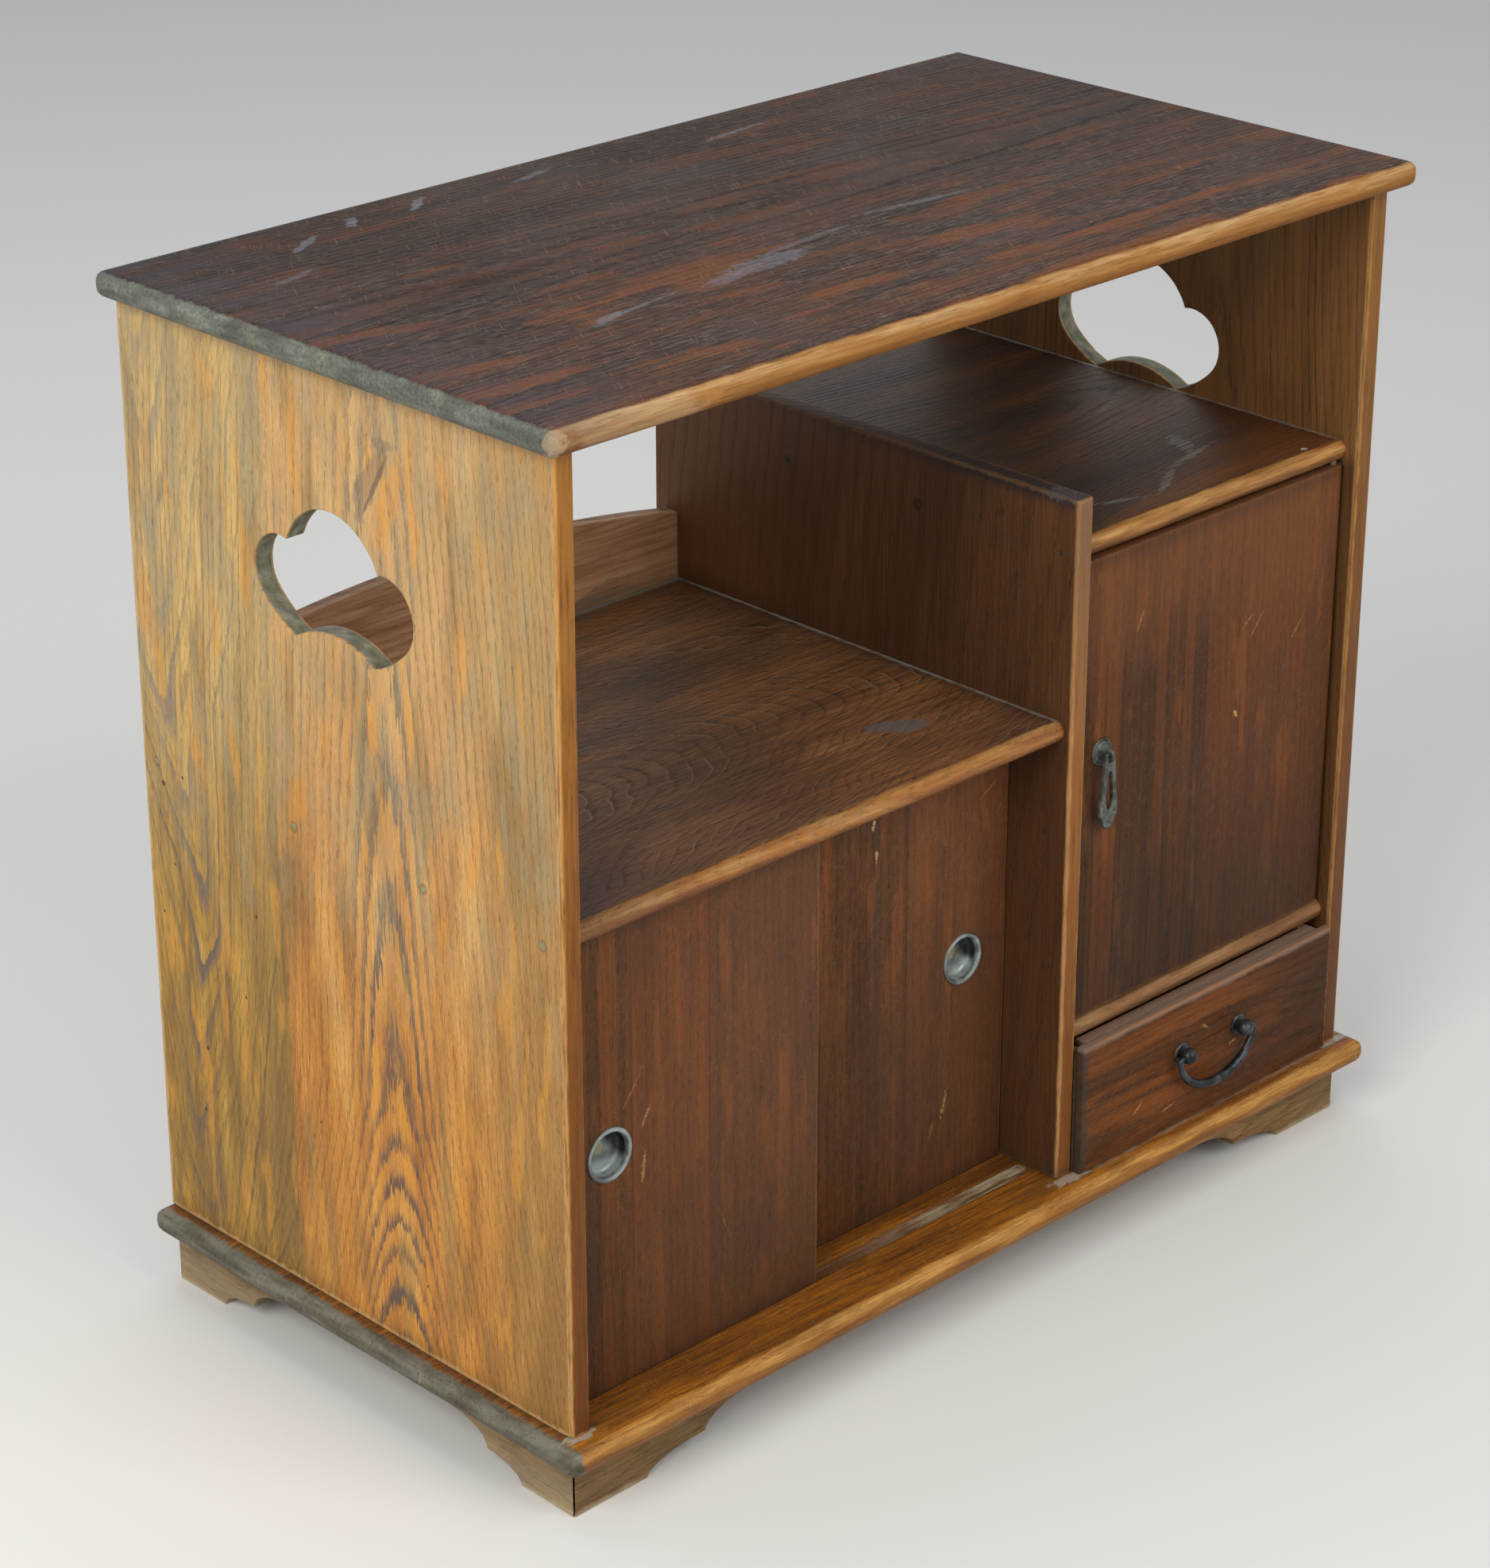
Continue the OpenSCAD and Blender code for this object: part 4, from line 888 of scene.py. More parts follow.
# %% A second board and a front strip
def front_strip(f, front, node, seed, grain, stops, dark):
    """The front edge of an upright board: tones that change with height, under dark streaks."""
    streaky = f.noise((26, 1.6, 1.6), seed, 3.0)
    height = f.z / span(node)[1].z
    f.shade(front, height + (f.strands - 0.5) * grain + (streaky - 0.5) * 0.7, stops)
    f.cover(front * streaky.fade(0.42, 0.3) * 0.5, dark)
    return streaky


def wood_layer(f, seed, tones, line_tone):
    """A second board's grain, for a panel glued up from two boards: curved V figures."""
    bend = f.noise((110, 60, 60), seed) - 0.5
    teeth = f.noise((16, 1.1, 5), seed + 1, 1.0) - 0.5
    off = f.across - 252 + f.along.fade(270, 170) * 12 + bend * 36
    ring = ((off * off + 12.0).math("SQRT") - f.along * 0.24 + teeth * 3.0) / 9.6
    phase = ring.math("FRACT")
    strength = f.chance(ring.math("FLOOR") + seed) * 0.6 + 0.4
    line = phase.band(0.0, 0.04, 0.06, 0.34) * strength
    fine = (ring * 3.0).math("FRACT")
    line = line.most(fine.band(0.0, 0.1, 0.1, 0.5) * 0.4)
    tip = phase.band(0.0, 0.05, 0.2, 0.5) * (off * off).fade(200, 10) * strength
    cloud = f.noise((100, 10, 20), seed + 3, 3.0)
    body = f.even_ramp(cloud * 1.2 + f.strands * 0.5 - 0.35, tones, 0.24, 0.52)
    body = f.blend(f.strands.fade(0.57, 0.43) * 0.2, body, line_tone)
    body = f.blend(line * 0.9, body, line_tone)
    return f.blend(tip, body, (98, 88, 86))


print("wood_layer() adds the rear board, front_strip() the front edge")

# %% Finish of the side panels
def panel_finish(name, node, seed, crest, outer_x, worm_holes, plugs, smears):
    """Wood of one side; outer_x is the x of its outer face."""
    low, high = span(node)
    thick = high.x - low.x
    f = wood(name, "zyx", seed, [(148, 94, 38), (178, 116, 48), (196, 136, 60), (210, 160, 86)],
             (104, 76, 50), low.x, crest=crest, heart=25.2, spacing=4.1, sway=3.0, jag=2.0,
             taper=lambda z: z.least(110) * 0.205 + (z - 110).most(0) * 0.06,
             line=0.34, pore=0.14, fibre=0.18, mottle=1.0, blotch=(90, 14))
    f.cover(f.crown.math("POWER", 0.75), (88, 74, 72))
    rear = wood_layer(f, seed + 40, [(126, 98, 54), (158, 120, 54), (192, 146, 58), (210, 170, 82)],
                      (88, 72, 62))
    joint = f.y + (f.noise((200, 8, 8), seed + 9) - 0.5) * 3.0
    behind = joint.fade(175.5, 176.5)
    f.cover(behind, rear)
    soiled = joint.band(150, 176, 177, 206) * f.z.fade(330, 210)
    f.cover(soiled * f.patch((90, 14, 14), seed + 11, 0.3, 0.6, 2.0) * 0.62, (112, 84, 44))
    f.cover(f.drift(f.z, 120).fade(110, 350) * 0.4, (206, 184, 142))
    front_dull = f.drift(f.y, 60).fade(66, 22)
    f.cover(front_dull * 0.45, (136, 110, 66))
    f.cover(front_dull * f.z.fade(220, 80) * 0.35, (116, 84, 42))
    f.cover(behind * f.z.fade(240, 90) * 0.42, (116, 86, 42))
    f.stain((110, 16, 30), seed + 13, 0.52, 0.66, 0.5, (124, 100, 60))
    f.stain((50, 9, 20), seed + 15, 0.54, 0.66, 0.45, (208, 144, 50))
    f.cover(f.patch((46, 12, 20), seed + 16, 0.5, 0.62) * f.z.fade(90, 260) * 0.4, (150, 138, 108))
    f.cover(f.dark * f.z.band(190, 300, 360, 430) * 0.4, (104, 86, 62))
    for y, z, size, turn, colour, amount in smears:
        f.cover(f.spot((z, y), size, turn, 0.7, y, 8) * amount, colour)
    for y, z in plugs:
        f.cover(f.spot((z, y), (3.1, 2.8), 0, 0.25, y, 3) * 0.5, (92, 78, 52))
    f.scratches(12, 20, 0.3, seed + 17, 0.22, 0.35, (214, 186, 140))
    for y, z, size in worm_holes:
        f.cover(f.spot((z, y), (size, size), 0, 0.2, y, 3) * 0.85, (66, 44, 26))
    f.cover(f.z.fade(10, 0).most(f.z.fade(high.z - 9, high.z)) * 0.3, (120, 92, 60))
    f.cover(f.arris(node, 2.6, seed + 19) * 0.6, (206, 170, 122))
    front = f.y.fade(1.8, 0.9)
    strip_tones = [(0.0, (100, 55, 13)), (0.45, (120, 70, 18)), (0.9, (150, 99, 38))]
    streaky = front_strip(f, front, node, seed + 20, 0.5, strip_tones, (90, 58, 32))
    if outer_x > 0:
        f.cover(front * 0.4, (78, 54, 34))
    away = f.x.away(outer_x)
    edge = f.y.fade(2.6, 0.6) * (away + (streaky - 0.5) * 4).fade(2.2, 0.6)
    f.cover(edge * streaky.fade(0.4, 0.6) * 0.6, (196, 152, 92))
    f.cover(front * f.arris(node, 1.5, seed + 21) * 0.4, (196, 144, 80))
    inner = away.fade(thick - 0.8, thick - 0.2) * f.y.fade(1, 3)
    f.shade(inner * 0.86, f.cloud * 0.7 + f.strands * 0.3,
            [(0.3, (84, 52, 25)), (0.5, (110, 69, 33)), (0.7, (134, 86, 42))])
    f.cover(inner * f.strands.fade(0.44, 0.6) * 0.3, (142, 92, 46))
    f.cover(inner * f.dark * 0.5, (52, 35, 21))
    # Painted shade: the inner face is darker below 296 to 305 mm, the height of the right shelf.
    f.cover(inner * f.z.fade(305, 296) * 0.6, (50, 31, 18))
    wall = away.band(0.9, 1.5, thick - 1.5, thick - 0.9)
    wall = wall * f.y.band(60, 70, 200, 210) * f.z.band(280, 290, 390, 400)
    f.shade(wall, f.noise((7, 7, 5), seed + 23, 3.0),
            [(0.3, (92, 90, 74)), (0.5, (120, 120, 102)), (0.7, (148, 146, 126))])
    return f.done(0.3)

# %% Marks of the side panels
LEFT_WORM = [(257, 213, 1.5), (243, 220, 0.9), (262, 150, 0.9), (252, 176, 0.8), (196, 170, 0.9),
             (206, 128, 0.8), (236, 92, 1.2), (240, 60, 1.0), (158, 86, 0.7), (90, 34, 0.8)]
RIGHT_WORM = [(40, 120, 1.1), (52, 96, 0.8), (214, 60, 1.0), (228, 188, 0.8)]
PANEL_Y, RIGHT_Y, MIDDLE_Y = (12, 84, 167, 261), (25, 84, 167, 261), (12, 97, 179, 261)
SHELF_PEG_Z, BAY_PEG_Z = 222, (305, 71)
LEFT_PLUGS = [(y, SHELF_PEG_Z) for y in PANEL_Y]
RIGHT_PLUGS = [(y, z) for z in BAY_PEG_Z for y in RIGHT_Y]
GREY, DARK, WARM = (124, 110, 92), (92, 78, 66), (208, 146, 60)
SMEARS = [(98, 384, (26, 6.0), -20, WARM, 0.45), (110, 388, (23, 6.0), -30, GREY, 0.55),
          (106, 388, (20, 1.3), -30, DARK, 0.6), (100, 407, (3.0, 7.0), 0, GREY, 0.5),
          (247, 352, (10, 2.6), -12, GREY, 0.5), (238, 262, (13, 2.6), -14, GREY, 0.5)]
left_wood = panel_finish("left_side_wood", "left_side_panel", 71, 106, 0.0, LEFT_WORM,
                         LEFT_PLUGS, SMEARS)
right_wood = panel_finish("right_side_wood", "right_side_panel", 83, 88, CARCASS_W, RIGHT_WORM,
                          RIGHT_PLUGS, [])
dress(left_panel, left_wood, "carcass", "left_side_panel")
dress(right_panel, right_wood, "carcass", "right_side_panel")

# %% [markdown]
# ## Divider, shelves and rail
# These boards are straight, so each is a loft of sections: the divider's run upwards and have two
# rounded front corners, the shelves' run from left to right and have a half-round nose. The left
# shelf has two tracks underneath for the sliding doors. The rail at its back has an arched top.

# %% Divider, shelves and rail
def shelf_board(node, seed, notches=()):
    """A board with a half-round nose, its sections from left to right."""
    low, high = span(node)
    half = (high.z - low.z) / 2
    rings = []
    for x, inset in stations(low.x, high.x, 5.0, 0.25):
        y0 = low.y + 0.5 * rub(x, seed)
        outline = section(y0, high.y, low.z, high.z, [half, 0.4, 0.4, half], inset)
        if notches:
            cut = ARC_STEPS + 3
            slots = []
            for start, end, depth in notches:
                slots += [(start, low.z + inset), (start, low.z + depth)]
                slots += [(end, low.z + depth), (end, low.z + inset)]
            outline = outline[:cut] + slots + outline[cut:]
        rings.append([(x, y, z) for y, z in outline])
    return loft(node + "_worn", rings)


def arched_rail(node, end_height, seed):
    """The rail: its top edge is one shallow arc, higher in the middle."""
    low, high = span(node)
    rise = high.z - low.z - end_height
    rings = []
    for x, inset in stations(low.x, high.x, 6.0, 0.3):
        share = (x - low.x) / (high.x - low.x) * 2 - 1
        top_z = low.z + end_height + rise * (1 - share * share)
        soft = 0.8 + 0.9 * rub(x, seed)
        outline = section(low.y, high.y, low.z, top_z, [0.3, 0.3, soft, soft], inset)
        rings.append([(x, y, z) for y, z in outline])
    return loft(node + "_worn", rings)


divider = upright_board("divider", [1.5, 1.5, 0.4, 0.4], [0.6, 0.6, 0, 0], 21.0, 0.8)
left_shelf = shelf_board("left_shelf", 23.0, [(y0, y1, 6) for y0, y1 in TRACK_Y])
right_shelf = shelf_board("right_shelf", 25.0)
bay_floor = shelf_board("door_bay_floor", 27.0)
rail = arched_rail("left_shelf_rail", 33.0, 29.0)
print("inner boards:", [len(o.data.polygons) for o in (divider, left_shelf, right_shelf, bay_floor, rail)])

# %% [markdown]
# ## Finish of the inner boards
# The inner boards are stained dark brown. Hands and trays have rubbed their noses back to orange
# wood, dust has gathered in pale lines where they meet the uprights, and the left shelf shows
# rings that swirl round a knot. Each nose is also painted paler towards its top as a highlight.
# The noses are found by their place: a few millimetres behind the front of each board.

# %% Finish of the inner boards
def nosed_finish(name, node, seed, tones, nose_tones, dust, **grain):
    """Stained board with a rubbed nose, painted paler towards its top as a highlight, and dust where it meets
    its neighbours.
    """
    low, high = span(node)
    f = wood(name, "xyz", seed, tones, (38, 27, 20), low.z, **grain)
    f.scratches(50, 13, 0.25, seed + 41, 0.23, 0.3, (150, 112, 84))
    f.flecks(46, 0.8, seed, 0.6, (170, 158, 140))
    pale = f.patch((9, 0.42, 1.2), seed + 31, 0.62, 0.71, 1.0) * f.phase.fade(0.6, 0.1)
    f.cover(pale * 0.3, (126, 118, 108))
    soil = f.noise((16, 5, 5), seed + 43, 3.0) - 0.5
    sides = (f.x - low.x).least(f.x.less_from(high.x)) + soil * 2.4
    f.cover(sides.fade(3.2, 1.0) * dust, (136, 128, 112))
    seam = (f.x.less_from(high.x) + soil * 2.4).fade(3.0, 1.1)
    f.cover(seam * f.patch((12, 12, 12), seed + 44, 0.25, 0.5, 2.0) * 0.8, (166, 166, 156))
    f.cover(sides.fade(9, 3) * sides.fade(1.0, 3.2) * 0.4, (46, 38, 34))
    rag = f.noise((12, 2.5, 3), seed + 45, 3.0) - 0.5
    nose = (f.y + rag * 3.6).fade(low.y + 5.2, low.y + 3.2)
    # The nose's tone varies at random and is painted paler towards its top: a painted highlight over the
    # rubbed wood.
    nose_wear_and_highlight = f.noise((34, 5, 3), seed + 47, 3.0) + (f.z - low.z).fade(2, 8) * 0.34 - 0.2
    f.shade(nose, nose_wear_and_highlight, [(0.2 + 0.2 * i, t) for i, t in enumerate(nose_tones)])
    f.cover(nose * f.strands.fade(0.6, 0.4) * 0.25, (84, 56, 34))
    return f


print("nosed_finish() stains a board and rubs its nose")

# %% Finish of the left shelf
f = nosed_finish("left_shelf_wood", "left_shelf", 101,
                 [(92, 64, 44), (120, 82, 52), (144, 98, 60), (166, 114, 68)],
                 [(128, 78, 30), (162, 102, 44), (190, 130, 62), (208, 160, 96)], 0.5,
                 crest=100, heart=12, spacing=4.0, taper=0.34, sway=18, jag=0.3, line=0.4,
                 pore=0.7, fibre=0.45, blotch=(90, 40), rough=0.46)
loops = f.patch((60, 30, 30), 107, 0.45, 0.6, 2.0)
f.cover(f.phase.fade(0.86, 0.97) * loops * 0.6, (144, 130, 108))
f.cover(f.drift(f.y, 60).fade(100, 24) * 0.35, (84, 48, 36))
f.cover((f.x + f.y).fade(120, 40) * 0.35, (58, 48, 50))
f.cover(f.y.fade(236, 251) * f.patch((30, 6, 6), 103, 0.35, 0.6) * 0.6, (92, 92, 82))
f.cover(f.y.band(247.6, 250.0, 251.6, 253) * 0.8, (166, 164, 150))
f.cover(f.spot((247, 56), (17, 7), -30, 0.5, 3, 8) * 0.85, (104, 98, 92))
f.cover(f.spot((150, 170), (90, 55), 0, 0.5, 4, 60) * 0.35, (60, 50, 36))
dress(left_shelf, f.done(0.34), "carcass", "left_shelf")

# %% Finish of the right shelf, the door bay's floor and the rail
f = nosed_finish("right_shelf_wood", "right_shelf", 111,
                 [(50, 36, 25), (68, 47, 30), (88, 58, 32), (110, 71, 38)],
                 [(104, 66, 30), (136, 90, 42), (164, 116, 60), (190, 146, 88)], 0.6,
                 crest=130, heart=20, spacing=3.2, taper=0.1, sway=8, jag=0.7, line=0.6,
                 pore=0.8, pores=(9, 0.6, 1.0), fibre=0.4, blotch=(110, 22), rough=0.48)
for centre, size, turn in (((392, 30), (20, 2.4), 30), ((424, 44), (26, 2.0), 12), ((436, 58), (14, 5), 60),
                           ((360, 28), (14, 2.2), -20), ((460, 120), (24, 2.4), 20)):
    f.cover(f.spot(centre, size, turn, 0.9, centre[0], 5) * f.strands.fade(0.4, 0.58) * 0.75, (122, 122, 118))
f.cover(f.drift(f.x - f.y, 120).fade(330, 450) * f.y.fade(8, 13) * 0.4, (112, 62, 30))
f.cover(f.spot((470, 14), (2.2, 1.6), 0, 0.2, 8, 2) * 0.8, (176, 176, 166))
dress(right_shelf, f.done(0.34), "carcass", "right_shelf")

f = nosed_finish("bay_floor_wood", "door_bay_floor", 121,
                 [(66, 44, 28), (86, 58, 36), (104, 70, 42), (120, 82, 50)],
                 [(84, 56, 32), (108, 74, 42), (134, 94, 58), (156, 118, 80)], 0.5,
                 crest=60, heart=40, spacing=3.4, taper=0.08, sway=8, line=0.5, pore=0.5,
                 blotch=(120, 16), rough=0.5)
dress(bay_floor, f.done(0.3), "carcass", "door_bay_floor")

f = nosed_finish("rail_wood", "left_shelf_rail", 131,
                 [(140, 102, 76), (168, 124, 92), (188, 142, 106), (202, 158, 120)],
                 [(142, 102, 74), (170, 124, 90), (190, 142, 104), (202, 158, 120)], 0.5,
                 crest=236, heart=30, spacing=3.6, taper=0.16, sway=10, line=0.6, pore=0.5,
                 blotch=(60, 20), rough=0.52)
f.cover(f.z.fade(234, 228) * f.patch((16, 6, 6), 133, 0.35, 0.6) * 0.6, (116, 110, 92))
f.cover(f.spot((250, 232), (20, 5), 10, 0.5, 5, 8, "x z") * 0.35, (90, 92, 84))
f.cover(f.arris("left_shelf_rail", 2.0, 135) * 0.4, (156, 122, 84))
dress(rail, f.done(0.3), "carcass", "left_shelf_rail")

# %% Finish of the divider
f = wood("divider_wood", "zyx", 141, [(72, 47, 28), (86, 55, 32), (98, 63, 36), (112, 74, 42)],
         (44, 30, 20), crest=-120, heart=160, spacing=4.6, taper=0.05, sway=6, line=0.25,
         pore=0.4, fibre=0.2, mottle=0.7, blotch=(120, 40), rough=0.5)
for y, z in ((97, 305), (12, 222), (97, 71), (97, 222), (179, 305)):
    f.cover(f.spot((z, y), (3.4, 3.0), 0, 0.35, y, 3) * 0.7, (44, 34, 28))
f.cover(f.z.fade(236, 214) * f.x.fade(306, 302) * 0.5, (66, 38, 20))
f.cover(f.z.fade(322, 330) * 0.6, (62, 46, 38))
f.cover(f.z.fade(325, 329.5) * f.drift(f.y, 40).fade(120, 60) * 0.7, (40, 38, 42))
# Painted light: the divider is painted lighter towards its upper rear, where light falls in from behind.
f.cover(f.drift(f.y, 60).fade(110, 240) * f.z.fade(216, 240) * 0.5, (146, 98, 60))
front = f.y.fade(5.0, 3.9)
strip_tones = [(0.1, (114, 66, 22)), (0.5, (132, 80, 29)), (0.9, (146, 98, 50))]
front_strip(f, front, "divider", 142, 0.6, strip_tones, (92, 60, 34))
f.cover(front * f.drift(f.z, 90).fade(200, 320) * 0.6, (104, 80, 64))
f.cover(f.arris("divider", 1.8, 143) * f.y.fade(7, 4) * (f.z.fade(300, 200) * 0.5 + 0.15), (196, 148, 92))
f.cover(f.arris("divider", 2.2, 145) * 0.4, (140, 102, 64))
f.cover(f.spot((332, 14), (4, 12), 0, 1.2, 9, 3) * f.strands.fade(0.35, 0.6) * 0.7, (92, 92, 98))
f.cover(f.drift(f.z, 10).fade(7, 1) * 0.5, (60, 46, 36))
# Painted shade: the divider's right face beside the drawer, below 65 to 68 mm, is nearly black.
f.cover(f.x.fade(310.4, 311.2) * f.z.fade(68, 65) * 0.85, (34, 26, 21))
dress(divider, f.done(0.3), "carcass", "divider")

# %% [markdown]
# ## Feet
# A front foot is two thin boards that meet in a mitre, which has opened a little with age; a rear
# foot is one board. Each is an outline with two scallops, extruded through its thickness. For the
# mitre, the outer end of the outline slides inwards with depth, at 45 degrees.

# %% Feet
FOOT_H, FOOT_T, FOOT_TOP = 26.0, 9.0, -12.0
OPEN_LINE = 0.57


def scallop(start, end, count=9):
    """A quarter of an ellipse from one point of a foot to the next."""
    turn = [math.radians(90 * k / count) for k in range(count + 1)]
    return [(end[0] + (start[0] - end[0]) * math.cos(a), start[1] + (end[1] - start[1]) * math.sin(a))
            for a in turn]


def foot_outline(length, sole, seed, mitred):
    """A foot board from its outer corner inwards, each point with its worn radius."""
    cusp = (sole + (length - sole) * 0.48, -FOOT_H * 0.69)
    corners = [(0, 0), (0, -FOOT_H / 2), (0, -FOOT_H), (sole * 0.4, -FOOT_H), (sole * 0.7, -FOOT_H)]
    corners += scallop((sole, -FOOT_H), cusp) + scallop(cusp, (length, -7.0))[1:]
    corners += [(length, 0), (length * 0.75, 0), (length * 0.5, 0), (length * 0.25, 0)]
    loop = []
    for u, v in corners:
        worn = 0.5 + 0.9 * rub(u + v, seed, 12)
        loop.append((u, v, 0.25 if v > -0.01 or (mitred and u < 0.01) else worn))
    return loop


def foot_board(node, seed):
    """One foot board; its node's name tells its corner and its side."""
    mitred = node.startswith("front")
    ahead = node.endswith("front")
    length, sole = (112, 42) if ahead else (78, 33)

    def place(u, v, w):
        if mitred:
            u = max(u, w + OPEN_LINE)
        x, y = (u, w) if ahead else (w, u if mitred else BACK - u)
        return CARCASS_W - x if "right" in node else x, y, FOOT_TOP + v

    return cut_board(node + "_worn", [foot_outline(length, sole, seed, mitred)], FOOT_T, place, steps=3)


BACK = BODY_D - 3.0
FEET = ("front_left_foot_front", "front_left_foot_side", "front_right_foot_front",
        "front_right_foot_side", "rear_left_foot", "rear_right_foot")


def foot_finish(name, axes, seed, lighter):
    """Tan softwood, dull with handling, its scalloped edge rubbed pale."""
    f = wood(name, axes, seed, [(92, 66, 36), (118, 88, 50), (138, 106, 62), (156, 124, 78)],
             (78, 56, 34), crest=-22, heart=14, spacing=3.6, taper=0.1, sway=5, line=0.45,
             pore=0.4, fibre=0.3, blotch=(60, 16), rough=0.56)
    f.stain((30, 12, 12), seed + 31, 0.45, 0.62, 0.5, (104, 86, 58))
    edge = (f.z + (f.noise((8, 4, 4), seed + 33, 3.0) - 0.5) * 3).fade(-34.5, -37.5)
    f.cover(edge * 0.5, (196, 176, 142))
    # Painted shade: each foot is darker at its top, just under the base board's nose.
    f.cover(f.z.fade(-16.5, -12.0) * 0.6, (84, 66, 46))
    if lighter:
        f.cover(f.z.fade(-10, -30) * 0.35, (172, 160, 132))
    return f.done(0.3)


foot_woods = {"front": foot_finish("foot_wood_front", "xzy", 151, False),
              "side": foot_finish("foot_wood_side", "yzx", 153, True)}
for k, node in enumerate(FEET):
    foot = foot_board(node, 31.0 + 2 * k)
    dress(foot, foot_woods["front" if node.endswith("front") else "side"], "carcass", node)

# %% [markdown]
# ## Sliding doors
# Two light boards stand in the tracks, each with a round metal pull let into it. The blind hole
# for the pull is part of the door's outline, so that it stays a true circle. The doors are matt
# red-brown with a straight upright grain, glued up from narrow boards that each took the stain a
# little differently, and they carry the fine scratches and drips of long use.

# %% Sliding doors
CUP_R, CUP_Z, CUP_IN, CUP_DEEP = 12.5, 111.0, 28.5, 6.0
HOLE_R = 10.75


def front_border(low, high, step, radius):
    """The outline of an upright board that is seen from the front."""
    return walk([(low.x, low.z), (high.x, low.z), (high.x, high.z), (low.x, high.z)], step, radius)


def sliding_door(node, cup_x, seed):
    """A worn board with a blind round hole, its outline drawn in x and z."""
    low, high = span(node)
    border = front_border(low, high, 6.0, lambda u, v: 0.4 + 0.7 * rub(u + v, seed))
    turn = [-math.tau * k / 64 for k in range(64)]
    hole = [(cup_x + HOLE_R * math.cos(t), CUP_Z + HOLE_R * math.sin(t), 0.2) for t in turn]
    return cut_board(node + "_worn", [border, hole], high.y - low.y, lambda u, v, w: (u, low.y + w, v),
                     blind=CUP_DEEP + 0.1, steps=3)


CUP_X = {"left": span("left_sliding_door")[0].x + CUP_IN, "right": span("right_sliding_door")[1].x - CUP_IN}
sliders = {side: sliding_door(side + "_sliding_door", CUP_X[side], seed)
           for side, seed in (("left", 43.0), ("right", 45.0))}
print("finger pulls at x", [round(x, 1) for x in CUP_X.values()], "mm")

# %% Finish of the doors and the drawer front
DOOR_TONES = [(68, 41, 20), (86, 51, 24), (101, 60, 27), (120, 73, 34)]


def door_finish(name, axes, seed, joints, tones=DOOR_TONES, marks=(), **grain):
    """Matt stained softwood; joints are the places where its narrow boards meet."""
    settings = dict(crest=-160, heart=60, spacing=4.4, taper=0.01, sway=6, jag=0.3, width=0.5,
                    line=0.17, pore=0.4, fibre=0.22, mottle=1.15, blotch=(110, 20), rough=0.52)
    settings.update(grain)
    f = wood(name, axes, seed, tones, (50, 32, 20), **settings)
    bands = f.noise((700, 8, 30), seed + 48, 2.0)
    f.cover(bands.fade(0.52, 0.6) * 0.45, (122, 68, 28))
    f.cover(bands.fade(0.48, 0.4) * 0.45, (66, 46, 32))
    for place, colour, amount in joints:
        f.cover(f.across.fade(place - 0.3, place + 0.3) * amount, colour)
        f.cover(f.across.band(place - 0.9, place - 0.2, place + 0.2, place + 0.9) * 0.35, (56, 36, 28))
    f.stain((70, 30, 30), seed + 41, 0.5, 0.64, 0.4, (72, 50, 38))
    f.stain((50, 9, 9), seed + 42, 0.55, 0.67, 0.38, (132, 76, 34))
    for turn, length, width, number, share, amount, colour in (
            (38, 7, 0.17, 43, 0.28, 0.45, (156, 106, 64)), (-62, 6, 0.16, 44, 0.27, 0.4, (150, 104, 66)),
            (70, 12, 0.2, 49, 0.24, 0.4, (150, 104, 66)), (4, 24, 0.3, 45, 0.2, 0.3, (56, 38, 26))):
        f.scratches(turn, length, width, seed + number, share, amount, colour)
    f.flecks(22, 0.5, seed + 46, 0.7, (176, 132, 88))
    f.flecks(44, 1.0, seed + 47, 0.5, (138, 94, 58))
    for centre, size, turn, colour, amount in marks:
        broken = f.patch((0.9, 0.9, 0.9), centre[0], 0.38, 0.52, 2.0)
        wider = (size[0] * 1.2, size[1] * 1.4)
        f.cover(f.spot(centre, wider, turn, 1.2, centre[0] + centre[1], 2) * broken * amount, colour)
    return f


def slider_finish(f, side, seed, low_darkening, foot, rim):
    """The last layers of a sliding door: darker low down, a dark foot and head, worn arrises."""
    start, end, amount, colour = low_darkening
    # Darker towards the bottom of the door.
    f.cover(f.drift(f.z, 90).fade(start, end) * amount, colour)
    f.cover(f.drift(f.z, 12).fade(foot, 0) * 0.4, (56, 38, 26))
    f.cover(f.z.fade(204, 216) * 0.3, (56, 38, 26))
    f.cover(f.arris(side + "_sliding_door", 1.6, seed) * 0.35, rim)
    dress(sliders[side], f.done(0.3, 0.16), side + "_slider", side + "_sliding_door")


print("door_finish() starts a door's finish, slider_finish() ends a sliding door's")

# %% The two sliding doors
f = door_finish("left_slider_wood", "zxy", 161,
                [(52, (112, 66, 38), 0.5), (96, (84, 58, 40), 0.5)],
                marks=[((98, 58), (6, 0.8), 8, (176, 132, 84), 0.7),
                       ((122, 60), (4, 0.6), 30, (180, 140, 96), 0.7),
                       ((136, 52), (9, 0.4), 36, (150, 104, 64), 0.6),
                       ((54, 104), (10, 0.35), -22, (150, 104, 64), 0.6)])
slider_finish(f, "left", 163, (130, 40, 0.4, (64, 42, 28)), 7, (140, 92, 50))

